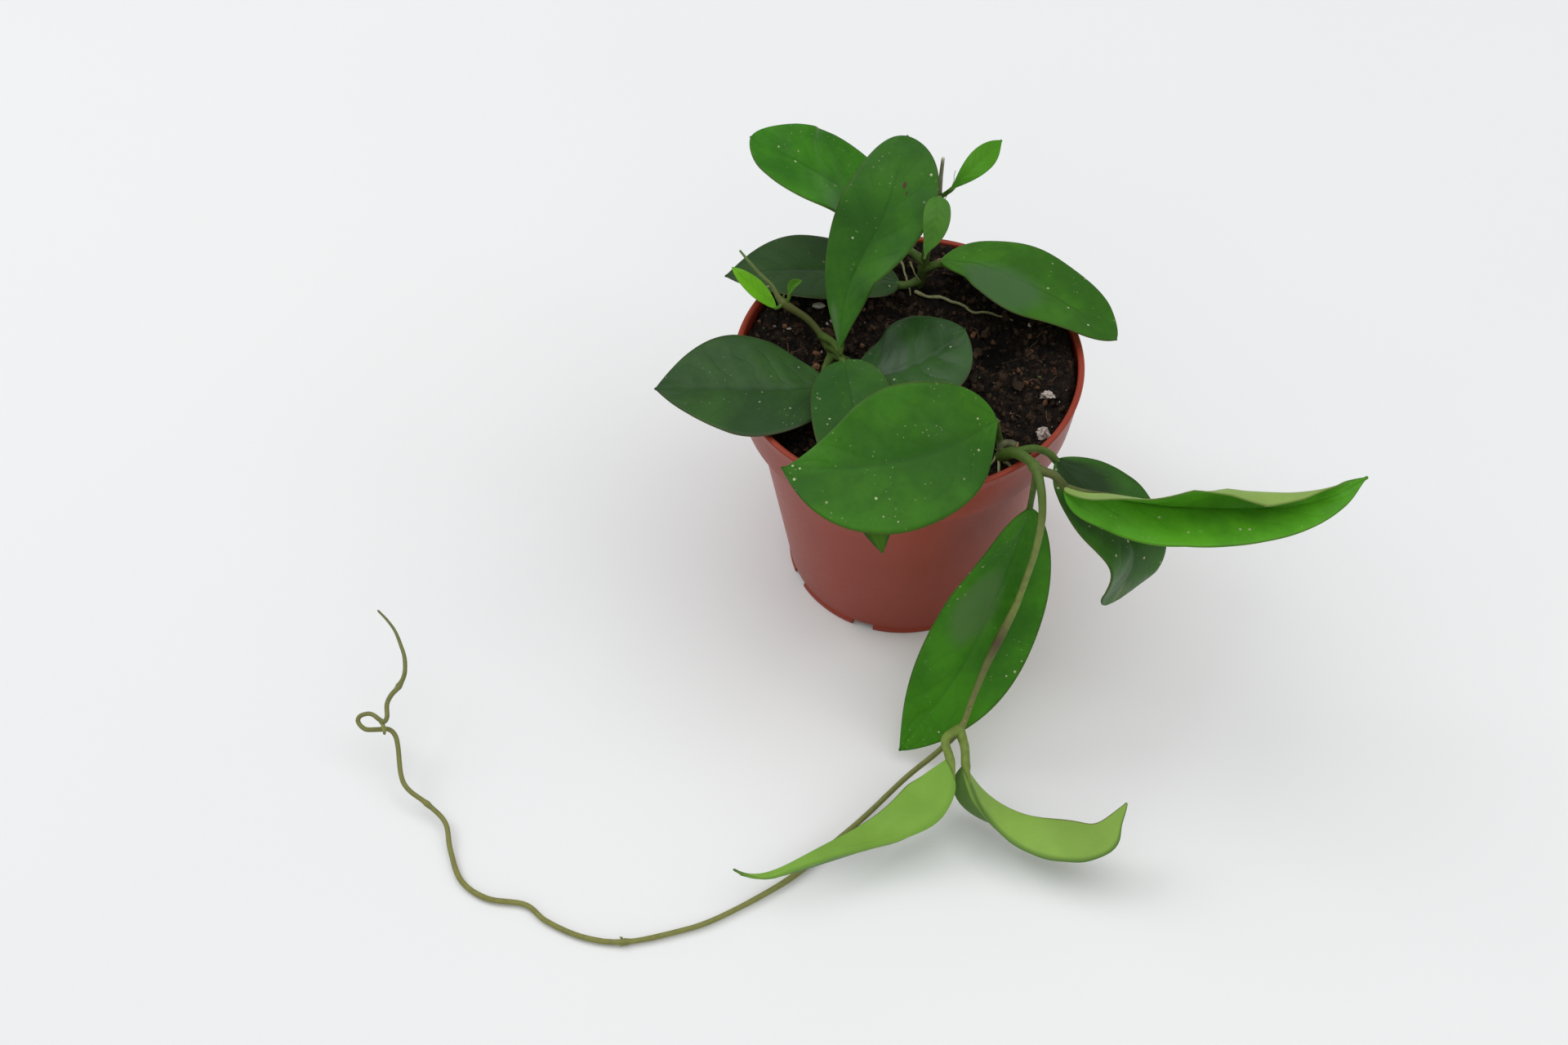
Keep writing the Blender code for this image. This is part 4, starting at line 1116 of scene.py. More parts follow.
LEAVES = (
    Leaf("leaf_middle_tall", "middle", ((-25.5, 10.5, 91.5), (-22.5, 5, 94.5)),
         ((-21, -1.5, 97), (-17.3, 10.5, 112), (-6.2, 20, 133), (0.7, 36, 146)),
         ((-0.6, -0.65, 0.35), (-0.4, -0.8, 0.45)), (26.5, 27), (0.64, 0.71), (1.4, 1.1), 0.5,
         (7, (5, 5, 31, 13, -7, -5)),
         petiole_radius=1.1),
    Leaf("leaf_middle_left", "middle", ((-23, 6.2, 87.3), (-25.2, -1.8, 88.8)),
         ((-24.5, -8.8, 90), (-37, -12, 92.3), (-57, -13, 95), (-75, -14.5, 98)),
         ((-0.1, 0, 1), (-0.2, -0.15, 1)), (36, 38), (0.46, 0.5), (0.53, 0.5), 1.0, (6, 6),
         petiole_radius=1.1),
    Leaf("leaf_middle_right", "middle", ((-22, 6, 87.6), (-17.3, 1.2, 89.2)),
         ((-16.8, -5.8, 90.8), (-7, -9, 94), (6, -7, 99), (16, -2, 105)),
         ((0, -0.1, 1), (0.2, 0, 1)), (34, 35), 0.5, (0.36, 0.6), 0.62, (10, 10), (-14, -10),
         petiole_radius=1.1),
    Leaf("leaf_middle_front", "middle", ((-23.4, 7.8, 89.8), (-21, 2, 93)),
         ((-19.5, -4, 95.5), (-18, -25, 99), (-15, -52, 96.5), (-12, -68, 86)),
         ((-0.1, -0.2, 1), (0, -0.5, 0.8)), 24.5, 0.4, 0.42, 0.9, (8, 8), petiole_radius=1.1),
    Leaf("leaf_middle_young", "middle", ((-37, 16, 101), (-38, 14, 100.9)),
         ((-39, 13, 101.6), (-44.7, 17.8, 104.6), (-51.6, 25.8, 106.5)),
         ((0.1, -0.5, 0.85), (0.1, -0.5, 0.85)), 6, 0.45, 0.8, 0.9, (30, 30),
         petiole_radius=0.6, young=True),
    Leaf("leaf_middle_bud", "middle", ((-36, 16, 100.5), (-35, 16, 102.5)),
         ((-35, 16, 104), (-33.5, 17, 107), (-31, 15.5, 110)),
         ((-0.5, -0.6, 0.6), (-0.5, -0.6, 0.6)), 3, 0.5, 0.8, 0.9, (25, 25),
         petiole_radius=0.6, young=True),
    Leaf("leaf_back_upper_left", "back", ((7.5, 34, 98), (3, 38, 99)),
         ((0.5, 41, 101), (-11.5, 47.5, 111), (-28, 43.5, 129), (-44.5, 49.5, 136.5)),
         ((0.6, -0.4, 0.7), (0.2, -0.2, 0.9), (-0.2, 0.1, 1)), 32, 0.55, 0.63, 0.58, (10, 10)),
    Leaf("leaf_back_right", "back", ((7.2, 34, 94), (9.5, 33, 97)),
         ((12, 33, 99), (25, 30.5, 98.5), (45, 17, 97.5), (62, 1, 95)),
         ((-0.1, 0.2, 1), (0.4, -0.15, 0.9)), 30, 0.47, 0.72, 0.7, (8, 8), (-5, -5)),
    Leaf("leaf_back_low", "back", ((6.5, 35, 89.6), (2.6, 32.3, 90.1)),
         ((-0.4, 32, 91.2), (-18, 35, 93.8), (-36, 34, 96.5), (-54, 32, 97)),
         ((0.1, 0.1, 1), (-0.2, 0, 1)), 29, 0.52, (0.4, 0.65), 1.0, (6, 6)),
    Leaf("leaf_back_young", "back", ((10, 32, 125), (12, 30, 129)),
         ((13, 27, 133), (20, 31, 138), (29, 42, 138)),
         ((0, -0.6, 0.8), (0.15, -0.7, 0.65)), 7, 0.53, 1.3, 0.95, (8, 8),
         petiole_radius=0.7, young=True),
    Leaf("leaf_back_small", "back", ((10, 32, 125.5), (9.7, 24, 133)),
         ((8.2, 17.1, 139.4), (7.8, 13.2, 138.4), (7.1, 9.5, 136.1), (5.9, 7.1, 133),
          (4.6, 5.7, 130.6), (3.8, 4.3, 127.9)),
         ((0, -0.61, 0.79), (0, -0.61, 0.79)), 7.6, 0.33, 0.4, 1.5, (10, 10),
         petiole_radius=0.55, young=True),
    Leaf("leaf_front_big", "front", ((24.3, -35.8, 87), (24.4, -32.6, 88.8), (23.5, -31.8, 93),
                                     (22.3, -34, 100)),
         ((22, -36.5, 103.5), (4, -49.5, 107), (-18, -54, 106.8), (-39, -51.8, 104.8)),
         ((0.3, -0.6, 0.7), (0, -0.3, 0.95)), (40, 41), (0.58, 0.46), (0.85, 0.5), (0.85, 1.4),
         (5, 5), petiole_radius=1.0),
    Leaf("leaf_front_long", "front", ((32, -48.9, 96.6), (33.8, -50.3, 97.2), (36.9, -51.8, 97)),
         ((39.6, -54.5, 93.8), (45.6, -57.7, 94.9), (54, -59.2, 95.4), (67.5, -61.5, 93.8),
          (83.4, -62.5, 92.8), (101.8, -61.9, 91.9), (114.1, -59.9, 93.5), (124.1, -54.9, 94.7)),
         ((0, -0.6, 0.8), (0, -0.6, 0.8), (0.1, -0.55, 0.85)), (29, 27), 0.43, 0.62, 1.2,
         ((107, 98, 90, 74, 20, 5, 12, 32, 10), (5, 5, 20, 35, 38, 38, 35, 28, 10)),
         ((0, 0, 0, 0, 110, 168, 135, 55, 0), 0)),
    Leaf("leaf_front_folded", "front", ((27.9, -41.2, 93.6), (29.2, -41, 95.4), (33, -40.2, 95.2),
                                        (37.2, -40.2, 92.8)),
         ((39.5, -41, 91), (49.5, -52, 85), (59.5, -64, 77), (56, -69, 60)),
         ((0.4, -0.4, 0.8), (0.6, -0.4, 0.7), (0.6, -0.3, 0.75)), 29, 0.44, 0.75, 0.3,
         (9, 9), petiole_radius=1.15),
    Leaf("leaf_front_hanging", "front", ((32, -50, 96), (31.6, -51.5, 90)),
         ((32, -50, 80), (23.2, -59, 50), (12.3, -71, 29), (-6, -84, 5)),
         ((0.3, -0.9, 0.3), (0, -0.8, 0.6), (-0.2, -0.5, 0.85)), (32, 29), 0.53, 0.62,
         (0.85, 1.05), (11, 11), petiole_radius=0.9),
    Leaf("leaf_runner_left", "front", ((10.5, -87.2, 22.5), (6.8, -90.7, 22)),
         ((6.9, -96.5, 19.8), (7.8, -101, 18.9), (7.7, -106, 18), (5.8, -110.6, 17.2),
          (2.5, -114.3, 16.2), (-2.7, -117, 14.6), (-10.5, -119.4, 13.4), (-17.5, -120.8, 12.8),
          (-24.5, -122.2, 12.6), (-32.3, -124, 12), (-39.3, -126.2, 11.7), (-46.5, -128.6, 11.5),
          (-52.4, -129.1, 12.5), (-57.3, -127.1, 14)),
         ((-0.63, 0.37, -0.69), (-0.64, 0.47, -0.61), (-0.35, 0.87, -0.29), (-0.12, 0.82, -0.55),
          (-0.05, 0.74, -0.66), (-0.06, 0.74, -0.66), (-0.03, 0.67, -0.74), (0.05, 0.39, -0.92),
          (-0.14, 0.33, -0.93)), 26.6, 0.2, 0.5, 2.2,
         ((40, 40, 48, 66, 73, 70, 63, 50, 30), (55, 78, 76, 64, 61, 61, 58, 45, 30)),
         petiole_radius=1.4),
    Leaf("leaf_runner_right", "front", ((11.8, -88.6, 21.8), (12.4, -92.5, 20.2)),
         ((11.9, -97.8, 18), (12.9, -102.8, 16.8), (14.9, -108.5, 15.5), (18.2, -114.3, 14.5),
          (21.9, -119.3, 14), (27, -123.6, 13.8), (32.8, -126.6, 14), (38.7, -128.2, 14.5),
          (44.7, -128.8, 15.5), (50.1, -127.8, 17), (53.6, -125.1, 18.8), (55.1, -120.3, 21.2),
          (56.9, -115.9, 24)),
         ((-0.42, 0.45, -0.79), (-0.24, 0.51, -0.83), (0.25, 0.76, -0.6), (0.29, 0.89, -0.35),
          (0.21, 0.97, -0.15), (0, 0.99, 0.1), (-0.31, 0.95, 0.1), (-0.79, 0.58, -0.18),
          (-0.84, 0.5, -0.25)), 22.4, 0.65, 0.35, 0.9,
         ((46, 45, 70, 72, 72, 65, 60, 55, 40), (46, 50, 71, 73, 69, 64, 60, 52, 40)),
         petiole_radius=1.4),
)


@dataclass
class Stem:
    """One stem: its route, its radii along it, and its side stubs, a radius and a route each.

    A stub with a radius over OLD_STUB is old wood with a flat cut end.
    """
    name: str
    route: tuple
    radii: tuple
    stubs: tuple = ()

    # Steps along the stem and sides round it
    SPACING = 0.6
    SIDES = 14
    # How uneven the radius is, and how quickly that changes
    UNEVEN = 0.05
    UNEVEN_SCALE = 0.22
    # Creases beside a node: depth as a share of the swell, place as a share of its reach,
    # and width
    CREASE_DEPTH = 0.12
    CREASE_PLACE = 0.7
    CREASE_WIDTH = 0.35
    # Stubs: the radius over which one is old, steps, unevenness and a young one's tip
    OLD_STUB = 1.0
    STUB_SPACING = 0.4
    STUB_UNEVEN = 0.06
    STUB_TIP = 0.6
    # Radii of the disc on a cut end, as shares of the stub's, and its thickness
    CUT_FACE = (0.86, 0.8)
    CUT_FACE_THICK = 0.25
    # Buds: length and radii as multiples of the size, and sides
    BUD_LENGTH = 2.4
    BUD_RADII = (0.75, 1.0, 0.9, 0.65, 0.35, 0.12)
    BUD_SIDES = 8

    def centre_line(self) -> np.ndarray:
        """Give the stem's centre line in small steps."""
        return smooth_path(self.route, self.SPACING)

    def body(self, dress: "StemDress") -> Shape:
        """Make the stem, its nodes swollen and ringed, with its stubs and buds.

        Args:
            dress: the details of this stem.

        Returns:
            The shape.
        """
        path = self.centre_line()
        shares = np.linspace(0, 1, len(path))
        radii = spread(self.radii, shares)
        uneven = np.array([noise.noise(Vector(p) * self.UNEVEN_SCALE) for p in path])
        radii = radii * (1 + self.UNEVEN * uneven)
        for place, swell, reach in dress.nodes:
            nearest = np.argmin(np.linalg.norm(path - np.array(place), axis=1))
            apart = (np.arange(len(path)) - nearest) * self.SPACING
            radii = radii + swell * np.exp(-(apart / reach) ** 2)
            crease = (np.abs(apart) - reach * self.CREASE_PLACE) / self.CREASE_WIDTH
            radii = radii - self.CREASE_DEPTH * swell * np.exp(-crease ** 2)
        shape = Shape()
        tube(shape, path, radii, self.SIDES, flat_ends=dress.cut)
        for radius, route in self.stubs:
            self.add_stub(shape, radius, route)
        for place, way, size in dress.buds:
            self.add_bud(shape, place, way, size)
        return shape

    def add_stub(self, shape: Shape, radius: float, route: tuple) -> None:
        """Add a stub.

        Args:
            shape: what it is added to.
            radius: its radius.
            route: the points that it passes through.
        """
        path = smooth_path(route, self.STUB_SPACING)
        old = radius > self.OLD_STUB
        radii = radius * (1 + self.STUB_UNEVEN * np.sin(np.arange(len(path)) * 1.3))
        if not old:
            radii = radii * np.linspace(1.0, self.STUB_TIP, len(path))
        tube(shape, path, radii, self.SIDES, side_mark=1.0 if old else 0.0, flat_ends=old)

    def cut_faces(self) -> Shape:
        """Make the paler discs on the cut ends of the old stubs.

        Returns:
            The shape, which is empty where the stem has no old stub.
        """
        shape = Shape()
        for radius, route in self.stubs:
            if radius > self.OLD_STUB:
                path = smooth_path(route, self.STUB_SPACING)
                end = path[-1] + directions(path)[-1] * self.CUT_FACE_THICK
                tube(shape, np.array([path[-1], end]), radius * np.array(self.CUT_FACE),
                     self.SIDES, flat_ends=True)
        return shape

    def add_bud(self, shape: Shape, place: Point, way: Point, size: float) -> None:
        """Add a small pointed bud that leans out from the stem.

        Args:
            shape: what it is added to.
            place: its foot.
            way: the way that it points.
            size: its greatest radius.
        """
        start, step = np.array(place, float), np.array(way, float)
        step /= np.linalg.norm(step)
        lengths = np.linspace(0, 1, len(self.BUD_RADII))
        path = start + step * (lengths * size * self.BUD_LENGTH)[:, None]
        tube(shape, path, size * np.array(self.BUD_RADII), self.BUD_SIDES)

    def build(self) -> bpy.types.Object:
        """Make the stem in place of its CAD node, and the cut faces of its old stubs.

        Returns:
            The stem.
        """
        dress = STEM_DRESS[self.name]
        faces = self.cut_faces()
        if faces.verts:
            faces.build(self.name + "_cut_face", CUT_WOOD, "brown_bark", sharp=30)
        return self.body(dress).build("dressed_" + self.name, dress.finish, dress.slot,
                                      (self.name,), 40)


@dataclass(frozen=True)
class StemDress:
    """What the render adds to a stem: its finish, nodes and buds, and whether its tip is cut.

    A node is its place, its swelling and its reach, a bud its foot, its way and its radius.
    """
    finish: BarkFinish
    slot: str
    nodes: tuple = ()
    buds: tuple = ()
    cut: bool = False


STEM_DRESS = {
    "stem_middle": StemDress(
        BarkFinish("bark_middle", ((0.0, (0.045, 0.07, 0.014)), (0.35, (0.06, 0.085, 0.015)),
                                   (0.58, (0.09, 0.1, 0.02)), (0.7, (0.12, 0.15, 0.035)),
                                   (1.0, (0.14, 0.22, 0.065)))),
        "green_bark", (((-37, 16, 101), 0.4, 1.4), ((-24, 9, 89), 0.3, 1.6)),
        (((-36.6, 17, 101.8), (0.3, 0.7, 0.8), 0.45),)),
    "stem_back": StemDress(
        BarkFinish("bark_back", ((0.0, (0.03, 0.045, 0.012)), (0.3, (0.045, 0.075, 0.012)),
                                 (0.6, (0.055, 0.09, 0.014)), (0.78, (0.15, 0.14, 0.06)),
                                 (0.9, (0.27, 0.26, 0.17)), (0.97, (0.22, 0.2, 0.13)),
                                 (1.0, (0.55, 0.53, 0.43)))),
        "brown_bark", (((7.3, 34.6, 95), 0.5, 1.8), ((10, 32, 126), 0.3, 1.0)), (), True),
    "stem_front": StemDress(
        BarkFinish("bark_front", ((0.0, (0.07, 0.075, 0.03)), (0.02, (0.065, 0.09, 0.024)),
                                  (0.035, (0.06, 0.12, 0.014)), (0.1, (0.08, 0.14, 0.02)),
                                  (0.13, (0.2, 0.25, 0.055)), (0.2, (0.19, 0.235, 0.052)),
                                  (0.226, (0.085, 0.06, 0.026)), (0.24, (0.13, 0.145, 0.042)),
                                  (0.33, (0.19, 0.21, 0.055)), (0.7, (0.225, 0.225, 0.06)),
                                  (1.0, (0.16, 0.17, 0.055)))),
        "green_bark",
        (((32, -48.9, 97), 0.55, 1.8), ((11.5, -87.5, 22), 0.45, 1.6),
         ((-90, -142.5, 1.5), 0.3, 1.2), ((-150.5, -97, 5.5), 0.25, 1.1),
         ((-159, -64.5, 22), 0.3, 1.1)),
        (((14.6, -83.6, 27.5), (-0.3, -0.9, 0.4), 0.5),
         ((13.0, -86.2, 24.6), (-0.5, -0.8, 0.3), 0.45),
         ((-90.5, -141.6, 1.9), (-0.9, 0.6, 0.2), 0.42),
         ((-90.5, -143.4, 1.9), (-0.9, -0.7, 0.2), 0.42),
         ((-159.6, -64.8, 22.5), (-0.6, 0.3, 0.6), 0.35))),
}


@dataclass
class Pot:
    """The nursery pot, turned more finely than in the CAD and with its edges rounded."""
    height: float = 92.0
    rim_radius: float = 52.5
    rim_drop: float = 16.6
    rim_foot_radius: float = 50.5
    rim_step: float = 3.6
    lip_width: float = 2.0
    wall: float = 1.2
    base_radius: float = 36.8
    floor: float = 1.5
    foot_height: float = 1.8
    foot_reach: float = 0.6
    slots: int = 8
    slot_width: float = 7.0
    slot_depth: float = 6.0
    slot_height: float = 2.6
    slot_turn: float = 22.0
    sides: int = 144
    # Height below the top that gets the painted highlight on the lip
    lip_highlight_height: float = 1.2

    @property
    def band(self) -> float:
        """Give the height of the rim band's lower edge."""
        return self.height - self.rim_drop

    def body_radius(self, z: float) -> float:
        """Give the outer radius below the rim band."""
        taper = self.rim_foot_radius - self.rim_step - self.base_radius
        return self.base_radius + taper * z / self.band

    def inner_radius(self, z: float) -> float:
        """Find the inner radius.

        Args:
            z: the height where it is measured.

        Returns:
            The radius there.
        """
        if z < self.band:
            return self.body_radius(z) - self.wall
        return self.rim_foot_radius - self.wall + (
            self.rim_radius - self.rim_foot_radius) * (z - self.band) / self.rim_drop

    def profile(self) -> list[tuple[float, float]]:
        """Lay out the pot's turned outline, with its edges rounded.

        Returns:
            Radius and height of each point, from the middle of the base below, by the
            outside and the lip, to the middle of the floor inside.
        """
        h, band, r, r_band = self.height, self.band, self.rim_radius, self.rim_foot_radius
        foot, r_body = self.base_radius + self.foot_reach, self.body_radius(self.band)
        # Base and foot
        points = [(0, 0.5), (20, 0.5), (21, 0), (foot - 0.4, 0), (foot, 0.4),
                  (foot, self.foot_height - 0.2), (foot - 0.25, self.foot_height + 0.15),
                  (self.body_radius(2.4), 2.6)]
        # Wall, and the step under the band
        points += [(self.body_radius(z), z) for z in np.linspace(4, band - 1.2, 14)]
        points += [(r_body + 0.15, band - 0.35), (r_body + 0.7, band), (r_band - 0.5, band),
                   (r_band - 0.1, band + 0.15), (r_band, band + 0.6)]
        # Band and rounded lip
        points += [(r_band + (r - 0.15 - r_band) * t, band + self.rim_drop * t)
                   for t in (0.25, 0.5, 0.75, 0.93)]
        points += [(r - 0.05, h - 0.75), (r - 0.2, h - 0.35), (r - 0.55, h - 0.06), (r - 1.0, h),
                   (r - 1.5, h - 0.08), (r - 1.85, h - 0.35), (r - self.lip_width, h - 0.8)]
        # Inside, down to the floor
        points += [(self.inner_radius(z), z) for z in (h - 3, h - 8, band + 3)]
        points += [(r_band - self.wall, band + self.wall),
                   (self.inner_radius(band - 1) + 0.2, band + 0.2)]
        points += [(self.inner_radius(z), z) for z in (band - 1, band * 0.66, band * 0.33, 4)]
        return points + [(self.inner_radius(self.floor), self.floor), (0, self.floor)]

    def build(self) -> bpy.types.Object:
        """Make the pot in place of its CAD node.

        Returns:
            The pot.
        """
        profile = self.profile()
        rows = len(profile) - 2
        verts = [(0, 0, profile[0][1])]
        marks = [(0, 0, 0)]
        for k in range(self.sides):
            turn = math.tau * k / self.sides
            for radius, z in profile[1:-1]:
                verts.append((radius * math.cos(turn), radius * math.sin(turn), z))
                marks.append((0, 0, 1.0 if z > self.height - self.lip_highlight_height else 0.0))
        verts.append((0, 0, profile[-1][1]))
        marks.append((0, 0, 0))
        faces = []
        for k in range(self.sides):
            a, b = 1 + k * rows, 1 + (k + 1) % self.sides * rows
            faces.append((0, b, a))
            faces += [(a + i, b + i, b + i + 1, a + i + 1) for i in range(rows - 1)]
            faces.append((a + rows - 1, b + rows - 1, len(verts) - 1))
        shape = Shape()
        shape.add(verts, faces, marks)
        pot = shape.build("dressed_pot", PLASTIC, "pot_plastic", ("pot",), POT_SHARP)
        cut(pot, [self.slot_block(k) for k in range(self.slots)])
        return pot

    def slot_block(self, index: int) -> Shape:
        """Make the block that cuts one drainage slot out of the foot.

        Args:
            index: which slot, from 0.

        Returns:
            The block, which reaches out past the foot and down past the base.
        """
        turn = math.radians(self.slot_turn) + math.tau * index / self.slots
        near, far = self.base_radius - self.slot_depth, self.base_radius + 4
        half = self.slot_width / 2
        verts = []
        for z in (-1.0, self.slot_height):
            for radius, side in ((near, -half), (far, -half), (far, half), (near, half)):
                verts.append((radius * math.cos(turn) - side * math.sin(turn),
                              radius * math.sin(turn) + side * math.cos(turn), z))
        shape = Shape()
        shape.add(verts, [(3, 2, 1, 0), (4, 5, 6, 7), (0, 1, 5, 4), (1, 2, 6, 5), (2, 3, 7, 6),
                          (3, 0, 4, 7)])
        return shape


def cut(target: bpy.types.Object, blocks: Sequence[Shape]) -> None:
    """Cut blocks out of an object.

    Args:
        target: what is cut.
        blocks: the shapes that are taken out; none stays in the scene.
    """
    group = bpy.data.collections.new("blocks")
    bpy.context.scene.collection.children.link(group)
    tools = []
    for block in blocks:
        tool = bpy.data.objects.new("block", block.mesh("block"))
        group.objects.link(tool)
        tools.append(tool)
    boolean = target.modifiers.new("slots", "BOOLEAN")
    boolean.operation = "DIFFERENCE"
    boolean.solver = "EXACT"
    boolean.operand_type = "COLLECTION"
    boolean.collection = group
    bpy.context.view_layer.update()
    evaluated = target.evaluated_get(bpy.context.evaluated_depsgraph_get())
    mesh = bpy.data.meshes.new_from_object(evaluated)
    target.modifiers.clear()
    target.data = mesh
    mesh.set_sharp_from_angle(angle=math.radians(POT_SHARP))
    for tool in tools:
        bpy.data.objects.remove(tool)
    bpy.data.collections.remove(group)


def circle(radius: float, z: float, sides: int) -> list[Point]:
    """Give the corners of a level ring about the pot's axis."""
    turns = [math.tau * k / sides for k in range(sides)]
    return [(radius * math.cos(turn), radius * math.sin(turn), z) for turn in turns]


@dataclass
class Soil:
    """The potting mix: a lumpy filling, and loose crumbs, perlite, moss and fibres on it.

    The pit and the mound are a place, a size and a rise. A slope is the way to the wall as
    x and y, the share of the radius where the mix starts to rise, and its rise.
    """
    pot: Pot
    level: float = 85.6
    gap: float = 0.5
    foot: float = 3.3
    rings: int = 96
    sides: int = 320
    clod_height: float = 1.1
    clod_size: float = 6.0
    crumb_height: float = 0.95
    crumb_scale: float = 0.42
    fine_scale: float = 0.95
    clump_scale: float = 0.5
    edge_width: float = 2.0
    edge_sink: float = 1.2
    wall_clear: float = 1.6
    root_clear: float = 2.2
    crumb_chip: float = 0.5
    crumb_rise: float = 0.35
    coarse_from: float = 0.6
    fibre_lengths: tuple = (1.6, 5.5)
    fibre_radii: tuple = (0.07, 0.16)
    pit: tuple = (28.0, 8.0, 9.0, -5.0)
    mound: tuple = (38.0, -10.0, 11.0, 2.6)
    slopes: tuple = ((-0.62, 0.78, 0.3, 5.2), (0.3, 0.95, 0.7, 2.5), (0.85, 0.53, 0.47, 5.5))

    def height(self, x: float, y: float) -> float:
        """Find the height of the mix's surface.

        Args:
            x: place to the right of the pot's axis.
            y: place behind it.

        Returns:
            The height there.
        """
        height = self.clod_height * noise.fractal(Vector((x, y, 0)) / self.clod_size, 1.0, 2.1, 3)
        for gx, gy, size in FLAT_SPOTS:
            height *= min(1.0, math.hypot(x - gx, y - gy) / (size * 1.1)) ** 2
        for cx, cy, size, rise in (self.pit, self.mound):
            height += rise * math.exp(-((x - cx) ** 2 + (y - cy) ** 2) / size ** 2)
        for wx, wy, start, rise in self.slopes:
            share = (wx * x + wy * y) / self.pot.inner_radius(self.level)
            height += rise * max(0.0, share - start) / (1 - start)
        at = Vector((x, y, 3.0))
        crumbs = noise.noise(at * self.crumb_scale)
        crumbs += 0.8 * noise.noise(at * self.fine_scale + Vector((5, 1, 0)))
        near, far = noise.voronoi(at * self.clump_scale)[0][:2]
        clumps = 1.5 * min(0.6, far - near) - 0.7
        return self.level + height + self.crumb_height * (crumbs + clumps)

    def build(self) -> bpy.types.Object:
        """Make the filling in place of its CAD node.

        Returns:
            The filling.
        """
        band = self.pot.band
        edge = self.pot.inner_radius(self.level) - self.gap
        verts = [(0, 0, self.height(0, 0))]
        for n in range(1, self.rings + 1):
            radius = edge * n / self.rings
            sink = self.edge_sink * max(0.0, (radius - edge) / self.edge_width + 1) ** 2
            verts += [(x, y, self.height(x, y) - sink) for x, y, _ in circle(radius, 0, self.sides)]
        step = band + self.pot.wall + 0.3
        for z, level in ((step, band), (step, band - 1), (self.foot, self.pot.floor)):
            verts += circle(self.pot.inner_radius(level) - self.gap, z, self.sides)
        faces = [(0, 1 + k, 1 + (k + 1) % self.sides) for k in range(self.sides)]
        for n in range(self.rings + 2):
            for k in range(self.sides):
                a = 1 + n * self.sides + k
                b = 1 + n * self.sides + (k + 1) % self.sides
                faces.append((a, a + self.sides, b + self.sides, b))
        faces.append(tuple(reversed(range(len(verts) - self.sides, len(verts)))))
        shape = Shape()
        shape.add(verts, faces)
        return shape.build("dressed_soil", MIX, "soil", ("soil",), 80)

    def free_spot(self, rng: random.Random, reach: float = 1.0) -> tuple[float, float]:
        """Pick a place on the mix that isn't under a root or in the pit.

        Args:
            rng: where the random numbers come from.
            reach: how near the wall it may be, as a share of the usual.

        Returns:
            The place as x and y.
        """
        edge = (self.pot.inner_radius(self.level) - self.gap - self.wall_clear) * reach
        while True:
            radius, turn = edge * math.sqrt(rng.random()), rng.random() * math.tau
            x, y = radius * math.cos(turn), radius * math.sin(turn)
            if min(math.hypot(x - rx, y - ry) for rx, ry in KEPT_CLEAR) > self.root_clear:
                return x, y

    def scatter(self, name: str, finish: Finish, slot: str, count: int,
                sizes: tuple[float, float], seed: int, flat: float = 0.7,
                rough: float = 0.28) -> bpy.types.Object:
        """Scatter crumbs of one kind over the mix, each pressed a little into it.

        Args:
            name: the piece's name.
            finish: its finish.
            slot: the record's material slot.
            count: how many.
            sizes: smallest and largest half size.
            seed: where their places start from.
            flat: their height as a share of their width.
            rough: how uneven each is.

        Returns:
            The object that holds them all.
        """
        rng = random.Random(seed)
        shape = Shape()
        for _ in range(count):
            x, y = self.free_spot(rng)
            size = sizes[0] + (sizes[1] - sizes[0]) * rng.random() ** 2.5
            half = (size, size * rng.uniform(0.55, 1.0), size * flat * rng.uniform(0.6, 1.0))
            centre = (x, y, self.height(x, y) + half[2] * self.crumb_rise)
            lump(shape, centre, half, rng.random() * 9, rough, 2 if size > self.coarse_from else 1,
                 (rng.random(), 0, 0), rng.random() * math.tau, self.crumb_chip)
        return shape.build(name, finish, slot)

    def fibres(self, count: int = 70, seed: int = 11) -> bpy.types.Object:
        """Lay short dry fibres on the mix.

        Args:
            count: how many.
            seed: where their places start from.

        Returns:
            The object that holds them all.
        """
        rng = random.Random(seed)
        shape = Shape()
        for _ in range(count):
            x, y = self.free_spot(rng, 0.94)
            turn, length = rng.random() * math.tau, rng.uniform(*self.fibre_lengths)
            points = []
            for step in range(4):
                px = x + math.cos(turn) * length * (step / 3 - 0.5)
                py = y + math.sin(turn) * length * (step / 3 - 0.5)
                turn += rng.uniform(-0.5, 0.5)
                points.append((px, py, self.height(px, py) + 0.25 + rng.random() * 0.35))
            path = smooth_path(points)
            tube(shape, path, np.full(len(path), rng.uniform(*self.fibre_radii)), 5)
        return shape.build("soil_fibres", FIBRE, "soil")


@dataclass(frozen=True)
class Grain:
    """A single crumb that has its own CAD node.

    Seed sets its form, rough is how uneven it is, chip how broken, and sunk how far it is
    pressed into the mix.
    """
    name: str
    slot: str
    finish: Finish
    seed: float
    rough: float
    chip: float
    sunk: float = 0.3

    def build(self) -> bpy.types.Object:
        """Make the crumb in place of its CAD node, where that one lies.

        Returns:
            The crumb.
        """
        low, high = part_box(self.name)
        half = [(b - a) / MM / 2 for a, b in zip(low, high)]
        middle = [(a + b) / MM / 2 for a, b in zip(low, high)]
        shape = Shape()
        lump(shape, (middle[0], middle[1], middle[2] - self.sunk), tuple(half),
             self.seed, self.rough, 4, chip=self.chip)
        return shape.build("dressed_" + self.name, self.finish, self.slot, (self.name,))


